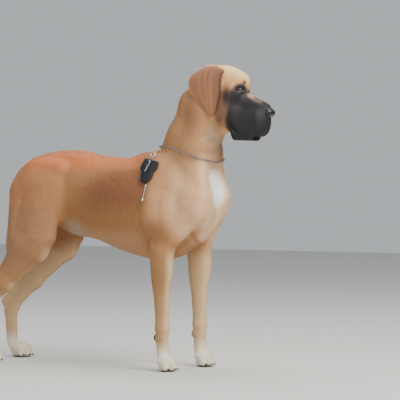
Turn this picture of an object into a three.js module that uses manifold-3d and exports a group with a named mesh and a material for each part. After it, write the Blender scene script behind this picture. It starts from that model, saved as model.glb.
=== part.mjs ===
// A life-size Great Dane standing square with its head held high, after a photograph.
// Millimetres, +Z up, the nose towards +X and the dog's left towards +Y. The floor is z = 0.
// The body is one blended mass, worked out from named landmarks, and thin cuts part it into its named pieces.
import * as THREE from "three";
import { mergeVertices } from "three/addons/utils/BufferGeometryUtils.js";
import Module from "manifold-3d";

const wasm = await Module();
wasm.setup();

// Driving dimensions
const gap = 0.3; // between pieces that touch
const stance = {
  foreRight: 209, // x of each foreleg's axis
  foreLeft: 255,
  foreSide: 110, // distance of a foreleg from the middle plane
  hindRight: -602,
  hindLeft: -602,
  hindSide: 113,
};
const height = {
  elbow: 446,
  wrist: 146,
  hip: 690,
  stifle: 462,
  hock: 208,
};
const eye = { x: 486, y: 37, z: 1054, radius: 13 };
const eyeAim = [0.6, 0.8, 0]; // the way the left eye looks
const noseTip = [609, 0, 992];

// Stations of the trunk from rump to breast
const trunk = [
  { x: -432, top: 783, bottom: 618, half: 70 },
  { x: -335, top: 822, bottom: 548, half: 92 },
  { x: -235, top: 830, bottom: 503, half: 98 },
  { x: -130, top: 815, bottom: 484, half: 110 },
  { x: -10, top: 803, bottom: 442, half: 130 },
  { x: 110, top: 808, bottom: 416, half: 136 },
  { x: 225, top: 800, bottom: 424, half: 118 },
  { x: 310, top: 765, bottom: 478, half: 92 },
];
const trunkEnds = { rear: 34, front: 62 }; // how far each rounded end reaches past its station
const trunkWaist = 0.56; // share of the depth at which the trunk is widest

// Small vector helpers
const mirror = ([x, y, z]) => [x, -y, z];
const sub = (a, b) => [a[0] - b[0], a[1] - b[1], a[2] - b[2]];
const dot = (a, b) => a[0] * b[0] + a[1] * b[1] + a[2] * b[2];
const unit = (a) => a.map((v) => v / Math.hypot(...a));
const cross = (a, b) => [
  a[1] * b[2] - a[2] * b[1],
  a[2] * b[0] - a[0] * b[2],
  a[0] * b[1] - a[1] * b[0],
];
const mix = (a, b, t) => a + (b - a) * t;

// Distance to an ellipsoid of radii (a, b, c) about the origin, close enough near its surface
function ellipsoid(u, v, w, a, b, c) {
  const near = Math.hypot(u / a, v / b, w / c);
  const slope = Math.hypot(u / (a * a), v / (b * b), w / (c * c));
  return slope < 1e-9 ? -Math.min(a, b, c) : (near * (near - 1)) / slope;
}

// A lump is an ellipsoid whose nose is tipped up by pitch degrees and turned to its left by yaw degrees
function lump(centre, radii, blend, pitch = 0, yaw = 0) {
  const turn = new THREE.Matrix3().setFromMatrix4(
    new THREE.Matrix4().makeRotationFromEuler(
      new THREE.Euler(0, (-pitch * Math.PI) / 180, (yaw * Math.PI) / 180, "ZYX"),
    ),
  );
  const e = turn.elements;
  return {
    blend,
    at(p) {
      const [x, y, z] = sub(p, centre);
      return ellipsoid(
        x * e[0] + y * e[1] + z * e[2],
        x * e[3] + y * e[4] + z * e[5],
        x * e[6] + y * e[7] + z * e[8],
        ...radii,
      );
    },
  };
}

// A limb is an ellipse carried along a line from a to b. Each end has its depth, seen from the side, and its width.
function limb(a, b, [depthA, widthA], [depthB, widthB], blend) {
  const line = sub(b, a);
  const length = Math.hypot(...line);
  const along = unit(line);
  const forward = unit(cross(along, [0, -1, 0]));
  const side = cross(forward, along);
  return {
    blend,
    at(p) {
      const r = sub(p, a);
      const t = Math.min(1, Math.max(0, dot(r, along) / length));
      const depth = mix(depthA, depthB, t);
      const width = mix(widthA, widthB, t);
      return ellipsoid(
        dot(r, forward),
        dot(r, side),
        dot(r, along) - t * length,
        depth,
        width,
        Math.min(depth, width),
      );
    },
  };
}

// A smooth curve through the trunk's stations, whose slope at each is that of the line between its neighbours
function stationCurve(key) {
  const last = trunk.length - 1;
  const slope = trunk.map((s, i) => {
    const a = trunk[Math.max(0, i - 1)];
    const b = trunk[Math.min(last, i + 1)];
    return (b[key] - a[key]) / (b.x - a.x);
  });
  return (x) => {
    let i = 0;
    while (i < last - 1 && trunk[i + 1].x < x) i++;
    const span = trunk[i + 1].x - trunk[i].x;
    const t = (x - trunk[i].x) / span;
    return (
      trunk[i][key] * (2 * t ** 3 - 3 * t ** 2 + 1) +
      slope[i] * span * (t ** 3 - 2 * t ** 2 + t) +
      trunk[i + 1][key] * (3 * t ** 2 - 2 * t ** 3) +
      slope[i + 1] * span * (t ** 3 - t ** 2)
    );
  };
}

// The trunk is an egg-shaped section whose top, bottom and half width follow its stations
function trunkMass(blend) {
  const [topAt, bottomAt, halfAt] = ["top", "bottom", "half"].map(stationCurve);
  const first = trunk[0].x;
  const last = trunk.at(-1).x;
  return {
    blend,
    at([x, y, z]) {
      const held = Math.min(last, Math.max(first, x));
      const top = topAt(held);
      const bottom = bottomAt(held);
      const waist = mix(bottom, top, trunkWaist);
      const depth = z > waist ? top - waist : waist - bottom;
      const end = x < first ? trunkEnds.rear : trunkEnds.front;
      return ellipsoid(x - held, y, z - waist, end, halfAt(held), depth);
    },
  };
}

const both = (make) => [make((p) => p), make(mirror)];

// Flesh of the trunk and of the muscles that lie on it
function trunkFlesh() {
  return [
    trunkMass(30),
    limb([85, 0, 782], [170, 0, 792], [36, 36], [38, 38], 44), // withers
    limb([-400, 0, 775], [-180, 0, 792], [26, 46], [24, 44], 40), // loin
    ...both((s) => lump(s([-262, 82, 762]), [30, 20, 22], 34)), // hip bone
    ...both((s) => lump(s([-352, 74, 715]), [92, 46, 74], 44, 20)), // rump
    ...both((s) => lump(s([-430, 46, 690]), [36, 34, 62], 40, 10)), // seat bone
    ...both((s) => limb(s([122, 52, 775]), s([318, 96, 640]), [56, 30], [50, 36], 34)), // shoulder blade
    ...both((s) => lump(s([204, 106, 570]), [80, 34, 84], 36, -22)), // triceps
    ...both((s) => lump(s([338, 96, 618]), [36, 36, 46], 34)), // point of the shoulder
    ...both((s) => lump(s([346, 42, 618]), [42, 44, 82], 30, -8)), // breast
    lump([340, 0, 668], [34, 26, 34], 30), // breastbone
  ];
}

function neckFlesh() {
  return [
    limb([240, 0, 758], [285, 0, 862], [112, 90], [98, 80], 40),
    limb([279, 0, 862], [320, 0, 990], [100, 78], [85, 68], 40),
    limb([320, 0, 990], [374, 0, 1062], [83, 66], [69, 60], 40),
    limb([330, 0, 800], [372, 0, 880], [42, 34], [26, 26], 34), // throat skin
    limb([372, 0, 880], [425, 0, 925], [22, 20], [22, 24], 26), // dewlap
    ...both((s) => limb(s([345, 40, 1040]), s([318, 58, 820]), [26, 24], [44, 34], 40)), // neck muscle
    ...both((s) => limb(s([318, 58, 820]), s([350, 86, 660]), [44, 34], [44, 40], 44)), // its spread to the shoulder
  ];
}

function skullFlesh() {
  return [
    lump([418, 0, 1084], [96, 64, 66], 30, -12), // skull
    lump([352, 0, 1122], [28, 22, 26], 30), // nape bump
    ...both((s) => lump(s([474, 27, 1094]), [30, 26, 25], 20, -30)), // brow
    ...both((s) => lump(s([428, 42, 1044]), [58, 27, 54], 28, -20)), // cheek
    ...both((s) => limb(s([402, 58, 1064]), s([474, 46, 1038]), [13, 11], [12, 9], 18)), // cheekbone
    limb([490, 0, 1020], [574, 0, 984], [30, 33], [24, 27], 26), // bridge
    limb([450, 0, 985], [552, 0, 948], [52, 42], [42, 36], 30), // muzzle
    ...both((s) => limb(s([384, 30, 985]), s([446, 34, 950]), [48, 30], [40, 28], 36)), // jaw angle
    ...both((s) => lump(s([eye.x, eye.y, eye.z]), [15.6, 15.6, 15.6], 8)), // lids
  ];
}

// Upper lips that hang below the jaw
function lipFlesh() {
  return [
    ...both((s) => limb(s([470, 43, 930]), s([552, 35, 934]), [46, 20], [42, 20], 22)),
    ...both((s) => limb(s([474, 45, 897]), s([532, 40, 891]), [31, 15], [27, 15], 18)),
    ...both((s) => lump(s([562, 18, 930]), [30, 25, 50], 16, -4)),
  ];
}

// A paw of four toes, whose axis is at x, with its leg coming down at the heel
function pawFlesh(x, y, out, reach) {
  const toes = [-1.5, -0.5, 0.5, 1.5];
  return [
    lump([x + reach * 0.35, y, 36], [reach * 0.62, 33, 26], 16),
    lump([x + reach * 0.2, y, 14], [26, 25, 18], 10), // main pad
    ...toes.flatMap((t) => {
      const middle = Math.abs(t) < 1;
      const tip = x + reach + (middle ? 0 : -17);
      const spread = y + out * t * 19;
      return [
        limb([tip - 40, y + out * t * 16, 40], [tip - 18, spread, 33], [14, 11], [15, 12], 9),
        limb([tip - 20, spread, 31], [tip - 11, spread, 15], [15, 11.5], [13, 11.5], 6),
      ];
    }),
  ];
}

// A foreleg from the elbow down, whose axis is at x, on the side given by out
function forelegFlesh(x, out) {
  const y = out * stance.foreSide;
  const { elbow, wrist } = height;
  return [
    limb([330, out * 98, 605], [x - 6, out * 112, elbow + 12], [44, 34], [44, 34], 34), // upper arm
    lump([x - 40, out * 114, elbow + 14], [18, 14, 26], 24), // point of the elbow
    limb([x - 2, y, elbow], [x - 1, y, wrist + 20], [43, 33], [25, 21], 26), // forearm
    lump([x + 12, y + out * 5, elbow - 45], [30, 25, 82], 24),
    lump([x - 22, y, elbow - 50], [18, 20, 90], 24),
    lump([x + 1, y, wrist - 4], [29, 26, 31], 16), // wrist
    lump([x - 27, y, wrist - 20], [9, 9, 13], 8), // stop pad
    limb([x - 1, y, wrist - 26], [x + 3, y, 62], [23, 22], [24, 25], 14), // pastern
    ...pawFlesh(x, y, out, 58),
  ];
}

// A hind leg from the hip down, whose pastern is at x, on the side given by out
function hindlegFlesh(x, out) {
  const y = out * stance.hindSide;
  const { hip, stifle, hock } = height;
  const lead = x - stance.hindRight;
  return [
    limb([-352, out * 80, hip], [-352 + lead, out * 108, stifle + 30], [104, 50], [92, 43], 40), // thigh
    limb([-436, out * 78, hip - 25], [-440 + lead, out * 104, stifle + 6], [42, 38], [44, 34], 34), // hamstring
    lump([-334 + lead, out * 110, stifle - 8], [44, 34, 52], 34, 20), // knee
    limb([-385 + lead, out * 112, stifle - 16], [-498 + lead, out * 111, 318], [72, 39], [40, 26], 32), // calf
    limb([-498 + lead, out * 111, 318], [x + 16, y, hock + 14], [39, 26], [30, 20], 34), // shin
    limb([-490 + lead, out * 110, 372], [x - 26, y, hock + 24], [13, 10], [12, 9], 16), // heel tendon
    lump([x + 2, y, hock - 6], [33, 23, 38], 16), // hock
    lump([x - 30, y, hock + 14], [15, 13, 22], 12), // point of the hock
    limb([x - 4, y, hock - 24], [x + 4, y, 62], [27, 20], [23, 22], 14), // rear pastern
    ...pawFlesh(x + 14, y, out, 78),
  ];
}

const tailLine = [
  [-436, 0, 750],
  [-476, 0, 702],
  [-500, 0, 620],
  [-508, 0, 520],
  [-517, 0, 420],
  [-538, 0, 335],
  [-568, 0, 268],
];
const tailRadii = [30, 24, 18, 15, 12, 9, 6];
function tailFlesh() {
  return tailLine
    .slice(1)
    .map((p, i) =>
      limb(tailLine[i], p, [tailRadii[i], tailRadii[i]], [tailRadii[i + 1], tailRadii[i + 1]], i ? 8 : 22),
    );
}

// Blends masses into one distance: near a joint of two, the smaller is rounded into the larger
const softer = (a, b, k) => {
  const h = Math.max(k - Math.abs(a - b), 0) / k;
  return Math.min(a, b) - (h * h * k) / 4;
};
const fused = (masses) => (p) => masses.reduce((d, m) => softer(d, m.at(p), m.blend), 1e3);
// The first field with the second carved out of it, rounded by k along the edge
const carved = (field, hollow, k) => (p) => -softer(-field(p), hollow(p), k);

// The closed surface where a field is zero inside a box. Each cell is split into six tetrahedra.
function surface(field, low, high, cell) {
  const n = low.map((v, i) => Math.ceil((high[i] - v) / cell) + 1);
  const size = n[0] * n[1] * n[2];
  const value = new Float64Array(size);
  const place = (id) => {
    const i = id % n[0];
    const j = Math.floor(id / n[0]) % n[1];
    const k = Math.floor(id / (n[0] * n[1]));
    return [low[0] + i * cell, low[1] + j * cell, low[2] + k * cell];
  };
  const step = [1, n[0], n[0] * n[1]];
  const block = 4; // grid points along a block, which is filled at once where it lies far from the surface
  const far = 2.4 * block * cell;
  for (let bk = 0; bk < n[2]; bk += block)
    for (let bj = 0; bj < n[1]; bj += block)
      for (let bi = 0; bi < n[0]; bi += block) {
        const centre = [bi, bj, bk].map((v, axis) => low[axis] + (v + (block - 1) / 2) * cell);
        const there = field(centre);
        for (let k = bk; k < Math.min(n[2], bk + block); k++)
          for (let j = bj; j < Math.min(n[1], bj + block); j++)
            for (let i = bi; i < Math.min(n[0], bi + block); i++) {
              const id = i + j * step[1] + k * step[2];
              const edge = !i || !j || !k || i === n[0] - 1 || j === n[1] - 1 || k === n[2] - 1;
              value[id] = edge ? cell : Math.abs(there) > far ? there : field(place(id));
            }
      }
  const corner = [...Array(8).keys()].map((c) => (c & 1) * step[0] + ((c >> 1) & 1) * step[1] + (c >> 2) * step[2]);
  const tets = [[1, 3], [1, 5], [2, 3], [2, 6], [4, 5], [4, 6]].map(([a, b]) => [0, a, b, 7]);
  const points = [];
  const faces = [];
  const known = new Map();
  const crossing = (a, b) => {
    const [low_, high_] = a < b ? [a, b] : [b, a];
    const key = low_ * size + high_;
    if (known.has(key)) return known.get(key);
    const t = Math.min(0.92, Math.max(0.08, value[low_] / (value[low_] - value[high_])));
    const p = place(low_);
    const q = place(high_);
    known.set(key, points.length);
    points.push(p.map((v, i) => mix(v, q[i], t)));
    return points.length - 1;
  };
  const outward = (ids, inside, outside) => {
    const middle = (a, b) => place(a).map((v, i) => (v + place(b)[i]) / 2);
    const [a, b, c] = ids.map(([s, t]) => middle(s, t));
    const way = sub(place(outside), place(inside));
    const tri = ids.map(([s, t]) => crossing(s, t));
    faces.push(dot(cross(sub(b, a), sub(c, a)), way) > 0 ? tri : [tri[0], tri[2], tri[1]]);
  };
  for (let k = 0; k < n[2] - 1; k++)
    for (let j = 0; j < n[1] - 1; j++)
      for (let i = 0; i < n[0] - 1; i++) {
        const base = i + j * step[1] + k * step[2];
        const count = corner.reduce((c, o) => c + (value[base + o] < 0), 0);
        if (!count || count === 8) continue;
        for (const tet of tets) {
          const ids = tet.map((c) => base + corner[c]);
          const inner = ids.filter((id) => value[id] < 0);
          const outer = ids.filter((id) => value[id] >= 0);
          if (inner.length === 1) outward(outer.map((o) => [inner[0], o]), inner[0], outer[0]);
          if (inner.length === 3) outward(inner.map((o) => [o, outer[0]]), inner[0], outer[0]);
          if (inner.length === 2) {
            const [a, b] = inner;
            const [c, d] = outer;
            outward([[a, c], [a, d], [b, c]], a, c);
            outward([[b, c], [a, d], [b, d]], b, d);
          }
        }
      }
  return { points, faces };
}

// Collapses the edges that matter least to the shape until the mesh has the wanted number of faces.
// Each point keeps the summed squared distance to its planes, which keep(p) makes heavier where detail matters.
function thinned({ points, faces }, wanted, keep = () => 1) {
  const plane = (f) => {
    const [a, b, c] = f.map((v) => points[v]);
    const normal = cross(sub(b, a), sub(c, a));
    const area = Math.hypot(...normal);
    return { normal: normal.map((v) => v / (area || 1)), area };
  };
  const forms = points.map(() => new Float64Array(10));
  const around = points.map(() => []);
  faces.forEach((f, id) => {
    const { normal, area } = plane(f);
    const [x, y, z] = normal;
    const d = -dot(normal, points[f[0]]);
    const weight = area * keep(points[f[0]]);
    const add = [x * x, x * y, x * z, x * d, y * y, y * z, y * d, z * z, z * d, d * d];
    for (const v of f) {
      add.forEach((value, i) => (forms[v][i] += value * weight));
      around[v].push(id);
    }
  });
  const error = (q, [x, y, z]) =>
    q[0] * x * x + 2 * q[1] * x * y + 2 * q[2] * x * z + 2 * q[3] * x + q[4] * y * y +
    2 * q[5] * y * z + 2 * q[6] * y + q[7] * z * z + 2 * q[8] * z + q[9];
  const best = (i, j) => {
    const q = forms[i].map((v, k) => v + forms[j][k]);
    const a = points[i];
    const b = points[j];
    const middle = a.map((v, k) => (v + b[k]) / 2);
    const solve = new THREE.Matrix3().set(q[0], q[1], q[2], q[1], q[4], q[5], q[2], q[5], q[7]);
    const choices = [a, b, middle];
    if (Math.abs(solve.determinant()) > 1e-4 * Math.max(q[0], q[4], q[7]) ** 3) {
      const spot = new THREE.Vector3(-q[3], -q[6], -q[8]).applyMatrix3(solve.invert()).toArray();
      if (Math.hypot(...sub(spot, middle)) < 1.5 * Math.hypot(...sub(a, b))) choices.push(spot);
    }
    const costs = choices.map((p) => error(q, p));
    const cost = Math.min(...costs);
    return { cost: cost + 1e-7 * Math.hypot(...sub(a, b)) ** 2, spot: choices[costs.indexOf(cost)], q };
  };
  const alive = faces.map(() => true);
  const stamp = new Uint32Array(points.length);
  const heap = [];
  const swap = (a, b) => ([heap[a], heap[b]] = [heap[b], heap[a]]);
  const push = (item) => {
    let i = heap.push(item) - 1;
    while (i && heap[(i - 1) >> 1].cost > heap[i].cost) {
      swap(i, (i - 1) >> 1);
      i = (i - 1) >> 1;
    }
  };
  const pop = () => {
    const top = heap[0];
    const last = heap.pop();
    if (heap.length) heap[0] = last;
    for (let i = 0; ; ) {
      let least = i;
      for (const child of [2 * i + 1, 2 * i + 2])
        if (child < heap.length && heap[child].cost < heap[least].cost) least = child;
      if (least === i) return top;
      swap(i, least);
      i = least;
    }
  };
  const offer = (i, j) => push({ ...best(i, j), i, j, at: stamp[i] + stamp[j] });
  const neighbours = (v) => new Set(around[v].flatMap((f) => faces[f]).filter((u) => u !== v));
  faces.forEach((f) => {
    for (let k = 0; k < 3; k++) if (f[k] < f[(k + 1) % 3]) offer(f[k], f[(k + 1) % 3]);
  });
  let count = faces.length;
  const gone = new Uint8Array(points.length);
  const flips = (v, other, spot) =>
    around[v].some((f) => {
      if (faces[f].includes(other)) return false;
      const before = plane(faces[f]);
      const moved = faces[f].map((u) => (u === v ? spot : points[u]));
      const after = cross(sub(moved[1], moved[0]), sub(moved[2], moved[0]));
      const area = Math.hypot(...after);
      return area < 1e-3 || dot(after, before.normal) < 0.25 * area;
    });
  while (count > wanted && heap.length) {
    const { i, j, at, spot, q } = pop();
    if (gone[i] || gone[j] || at !== stamp[i] + stamp[j]) continue;
    const shared = [...neighbours(i)].filter((u) => neighbours(j).has(u));
    if (shared.length !== 2 || flips(i, j, spot) || flips(j, i, spot)) continue;
    points[i] = spot;
    forms[i] = q;
    gone[j] = 1;
    for (const f of around[j]) {
      if (faces[f].includes(i)) {
        alive[f] = false;
        count--;
        for (const u of faces[f]) if (u !== j) around[u] = around[u].filter((g) => g !== f);
      } else {
        faces[f] = faces[f].map((u) => (u === j ? i : u));
        around[i].push(f);
      }
    }
    around[j] = [];
    stamp[i]++;
    for (const u of neighbours(i)) offer(Math.min(i, u), Math.max(i, u));
  }
  return { points, faces: faces.filter((_, f) => alive[f]) };
}

// Meshes and solids
function geometryOf({ points, faces }) {
  const geometry = new THREE.BufferGeometry();
  geometry.setAttribute("position", new THREE.Float32BufferAttribute(points.flat(), 3));
  geometry.setIndex(faces.flat());
  return geometry;
}

function solid(geometry) {
  const bare = geometry.clone();
  bare.deleteAttribute("normal");
  bare.deleteAttribute("uv");
  const merged = mergeVertices(bare, 1e-4);
  return new wasm.Manifold(
    new wasm.Mesh({
      numProp: 3,
      vertProperties: new Float32Array(merged.attributes.position.array),
      triVerts: new Uint32Array(merged.index.array),
    }),
  );
}

// The largest closed body of a solid, as a geometry
function largest(made) {
  const bodies = made.decompose();
  const body = bodies.reduce((a, b) => (b.volume() > a.volume() ? b : a));
  const { vertProperties, triVerts } = body.getMesh();
  const geometry = new THREE.BufferGeometry();
  geometry.setAttribute("position", new THREE.Float32BufferAttribute(vertProperties, 3));
  geometry.setIndex(new THREE.BufferAttribute(triVerts, 1));
  return geometry;
}

// A geometry with every point moved outwards by a distance
function grown(geometry, by = gap) {
  const wide = mergeVertices(geometry.clone(), 1e-4);
  wide.computeVertexNormals();
  const { position, normal } = wide.attributes;
  for (let i = 0; i < position.count; i++)
    position.setXYZ(
      i,
      position.getX(i) + normal.getX(i) * by,
      position.getY(i) + normal.getY(i) * by,
      position.getZ(i) + normal.getZ(i) * by,
    );
  return wide;
}

// A block that fills the side of a plane which its normal points to, for cutting
function halfSpace(point, normal, reach = 1500) {
  const block = new THREE.BoxGeometry(reach, reach, reach);
  block.translate(0, 0, reach / 2);
  const turn = new THREE.Quaternion().setFromUnitVectors(
    new THREE.Vector3(0, 0, 1),
    new THREE.Vector3(...unit(normal)),
  );
  block.applyQuaternion(turn);
  const [x, y, z] = sub(point, unit(normal).map((v) => (-v * gap) / 2));
  block.translate(x, y, z);
  return solid(block);
}

function block(low, high) {
  const size = high.map((v, i) => v - low[i]);
  const box = new THREE.BoxGeometry(...size);
  box.translate(...low.map((v, i) => v + size[i] / 2));
  return solid(box);
}

// Head masses are placed on a straight head, which is then turned a little to the dog's left
const headTurn = (5 * Math.PI) / 180;
const headPivot = [345, 0];
function turned([x, y, z], way = 1) {
  const c = Math.cos(headTurn);
  const s = Math.sin(headTurn) * way;
  const u = x - headPivot[0];
  return [headPivot[0] + u * c - y * s, u * s + y * c, z];
}
const onHead = (field) => (p) => field(turned(p, -1));
const headMass = (mass) => ({ blend: mass.blend, at: onHead(mass.at) });

// What is carved out of the head: the eye openings, the slit under the lips and the furrow below the nose
function headHollows() {
  const [ax, ay] = eyeAim;
  const aimYaw = (Math.atan2(ay, ax) * 180) / Math.PI;
  return [
    ...both((s) => {
      const side = Math.sign(s([0, 1, 0])[1]);
      const spot = s([eye.x + ax * 12, eye.y + ay * 12, eye.z]);
      return lump(spot, [9, 12, 8], 4, 0, side * aimYaw);
    }),
    ...both((s) => limb(s([462, 34, 872]), s([548, 31, 872]), [28, 3.4], [28, 3.4], 4)),
    ...both((s) => limb(s([486, 66, 889]), s([450, 60, 930]), [7, 7], [5.5, 5.5], 8)), // corner of the mouth
    limb([592, 0, 950], [590, 0, 916], [7, 2.4], [5, 2.2], 3),
  ];
}

// Nose leather with its two nostrils, each open to the side in a comma
function noseFlesh() {
  const [x, , z] = noseTip;
  return [
    lump([x - 24, 0, z - 20], [24, 25, 21], 10),
    ...both((s) => lump(s([x - 20, 16, z - 23]), [20, 12, 16], 8)),
  ];
}
function nostrils() {
  const [x, , z] = noseTip;
  return [
    ...both((s) => limb(s([x - 4, 11, z - 22]), s([x - 10, 18, z - 20]), [6, 6], [5, 5], 3)),
    ...both((s) => limb(s([x - 10, 19, z - 21]), s([x - 26, 27, z - 28]), [3.2, 3.2], [2.4, 2.4], 3)),
  ];
}

// The left ear's rows from root to tip: its front edge, its middle and its rear edge
const earRows = [
  [[424, 42, 1098], [382, 48, 1108], [344, 44, 1076]],
  [[433, 56, 1120], [386, 62, 1133], [326, 56, 1101]],
  [[437, 71, 1127], [383, 79, 1141], [308, 70, 1111]],
  [[431, 79, 1094], [369, 92, 1099], [298, 78, 1076]],
  [[427, 79, 1044], [374, 91, 1041], [315, 79, 1032]],
  [[414, 76, 998], [383, 85, 996], [343, 78, 994]],
  [[399, 73, 963], [391, 76, 958], [382, 74, 963]],
];
const earThickness = 5.5;

// A closed sheet through rows of three points, thinner at its edges
function sheet(rows, thickness, along = 14, across = 6) {
  const edge = (k) => new THREE.CatmullRomCurve3(rows.map((r) => new THREE.Vector3(...r[k])));
  const lines = [0, 1, 2].map((k) => edge(k).getPoints(along));
  const grid = [];
  for (let i = 0; i <= along; i++) {
    const bow = new THREE.CatmullRomCurve3(lines.map((l) => l[i]));
    grid.push(bow.getPoints(across).map((p) => p.toArray()));
  }
  const at = (i, j) => grid[Math.min(along, Math.max(0, i))][Math.min(across, Math.max(0, j))];
  const points = [];
  for (const face of [0, 1])
    for (let i = 0; i <= along; i++)
      for (let j = 0; j <= across; j++) {
        const normal = unit(cross(sub(at(i, j + 1), at(i, j - 1)), sub(at(i + 1, j), at(i - 1, j))));
        const rim = Math.min(j, across - j, along - i) === 0 ? 0.55 : 1;
        const by = (face ? -0.5 : 0.5) * thickness * rim;
        points.push(at(i, j).map((v, axis) => v + normal[axis] * by));
      }
  const faces = [];
  const width = across + 1;
  const half = (along + 1) * width;
  const quad = (a, b, c, d) => faces.push([a, b, c], [a, c, d]);
  for (let i = 0; i < along; i++)
    for (let j = 0; j < across; j++) {
      const a = i * width + j;
      quad(a, a + 1, a + 1 + width, a + width);
      quad(half + a, half + a + width, half + a + 1 + width, half + a + 1);
    }
  for (let i = 0; i < along; i++) {
    const a = i * width;
    const b = a + across;
    quad(a, a + width, half + a + width, half + a);
    quad(b, half + b, half + b + width, b + width);
  }
  for (let j = 0; j < across; j++) {
    const b = along * width + j;
    quad(j, half + j, half + j + 1, j + 1);
    quad(b, b + 1, half + b + 1, half + b);
  }
  return outwardFacing({ points, faces });
}

// Turns the whole mesh round if it is inside out
function outwardFacing(mesh) {
  const { points, faces } = mesh;
  const volume = faces.reduce((sum, [a, b, c]) => sum + dot(points[a], cross(points[b], points[c])), 0);
  return volume > 0 ? mesh : { points, faces: faces.map(([a, b, c]) => [a, c, b]) };
}

// A tapered tube along points with a radius at each, closed at its ends or back onto its start
function tube(line, radii, sides = 6, closed = false) {
  const points = [];
  const n = line.length;
  let side = null;
  line.forEach((p, i) => {
    const before = line[closed ? (i + n - 1) % n : Math.max(0, i - 1)];
    const after = line[closed ? (i + 1) % n : Math.min(n - 1, i + 1)];
    const along = unit(sub(after, before));
    const start = side ?? (Math.abs(along[2]) < 0.8 ? [0, 0, 1] : [0, 1, 0]);
    side = unit(sub(start, along.map((v) => v * dot(start, along))));
    const other = cross(along, side);
    for (let k = 0; k < sides; k++) {
      const angle = (2 * Math.PI * k) / sides;
      points.push(p.map((v, a) => v + radii[i] * (side[a] * Math.cos(angle) + other[a] * Math.sin(angle))));
    }
  });
  const faces = [];
  for (let i = 0; i < (closed ? n : n - 1); i++)
    for (let k = 0; k < sides; k++) {
      const a = i * sides + k;
      const b = i * sides + ((k + 1) % sides);
      const c = ((i + 1) % n) * sides + ((k + 1) % sides);
      const d = ((i + 1) % n) * sides + k;
      faces.push([a, b, c], [a, c, d]);
    }
  if (!closed) {
    const ends = [points.length, points.length + 1];
    points.push(line[0], line[n - 1]);
    for (let k = 0; k < sides; k++) {
      const next = (k + 1) % sides;
      faces.push([ends[0], next, k]);
      faces.push([ends[1], (n - 1) * sides + k, (n - 1) * sides + next]);
    }
  }
  return outwardFacing({ points, faces });
}

// A claw that leaves a toe at a point and curves forwards and down
function claw([x, y, z], out) {
  const line = [0, 0.4, 0.75, 1].map((t) => [x - 8 + 19 * t, y + out * 1.2 * t, z - 1 - 7 * t * t]);
  return tube(line, [4.6, 4.5, 3.2, 1.2], 5);
}

// The four clawed toes of a paw, as pawFlesh lays them out
function clawsOf(x, y, out, reach) {
  return [-1.5, -0.5, 0.5, 1.5].map((t) => {
    const tip = x + reach + (Math.abs(t) < 1 ? 0 : -17);
    return claw([tip - 5, y + out * t * 19.5, 15.5], out * Math.sign(t));
  });
}

// Everything that is flesh, blended in one order so that neighbouring pieces share one surface
const fleshOf = {
  trunk: trunkFlesh(),
  neck: neckFlesh(),
  skull: [...skullFlesh(), ...lipFlesh()].map(headMass),
  jaw: [headMass(limb([440, 0, 928], [550, 0, 902], [24, 28], [17, 24], 18))],
  foreRight: forelegFlesh(stance.foreRight, -1),
  foreLeft: forelegFlesh(stance.foreLeft, 1),
  hindRight: hindlegFlesh(stance.hindRight, -1),
  hindLeft: hindlegFlesh(stance.hindLeft, 1),
  tail: tailFlesh(),
};
const pick = (...names) => fused(names.flatMap((name) => fleshOf[name]));
const bodyField = pick("trunk", "neck", "foreRight", "foreLeft", "hindRight", "hindLeft", "tail");
const headField = carved(pick("trunk", "neck", "skull", "jaw"), onHead(fused(headHollows())), 3);

// Where each leg and paw ends, and the planes that part the head, the neck and the trunk
const cuts = {
  foreTop: 404,
  hindTop: 486,
  hindFront: -212,
  paw: 76,
  tailFront: -472,
  tailSide: 27,
  tailTop: 730,
};
const headPlane = { point: [312, 0, 1096], normal: [0.86, 0, 0.51] };
const neckPlane = { point: [150, 0, 838], normal: [0.525, 0, 0.85] };
const back = (normal) => normal.map((v) => -v);

const parts = [];
const add = (name, made, look) => parts.push({ name, made, look });
const asSolid = (mesh) => solid(geometryOf(mesh));

// Ears, eyes and the nose come first, as the head is cut to let them in
const earLeft = sheet(earRows, earThickness);
const turnMesh = ({ points, faces }, s = (p) => p) =>
  outwardFacing({ points: points.map((p) => turned(s(p))), faces });
const ears = { left: turnMesh(earLeft), right: turnMesh(earLeft, mirror) };
const eyeBall = new THREE.SphereGeometry(eye.radius, 14, 10);
const eyeAt = (side) => {
  const ball = eyeBall.clone();
  ball.translate(...turned([eye.x, side * eye.y, eye.z]));
  return ball;
};
const [nx, , nz] = noseTip;
const noseMesh = thinned(
  surface(onHead(carved(fused(noseFlesh()), fused(nostrils()), 1.5)), [nx - 60, -45, nz - 50], [nx + 25, 70, nz + 25], 2.4),
  420,
);

// The socket lets the nose leather in by a third of its length
const headMesh = thinned(
  surface(headField, [270, -110, 820], [660, 125, 1175], 3.2),
  3300,
  ([x, , z]) => (x > 430 ? 2.5 : 1) * (x > 455 && x < 520 && z > 1030 && z < 1080 ? 2.5 : 1),
);
let head = asSolid(headMesh).intersect(halfSpace(headPlane.point, headPlane.normal));
for (const ear of Object.values(ears)) head = head.subtract(solid(grown(geometryOf(ear))));
for (const side of [1, -1]) {
  const socket = new THREE.SphereGeometry(eye.radius + gap + 0.1, 18, 12);
  socket.translate(...turned([eye.x, side * eye.y, eye.z]));
  head = head.subtract(solid(socket));
}
const noseRoom = surface(
  onHead((p) => fused(noseFlesh())(p) - 2 * gap),
  [nx - 60, -45, nz - 50],
  [nx + 25, 70, nz + 25],
  3,
);
head = head.subtract(asSolid(thinned(noseRoom, 500)));

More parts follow.
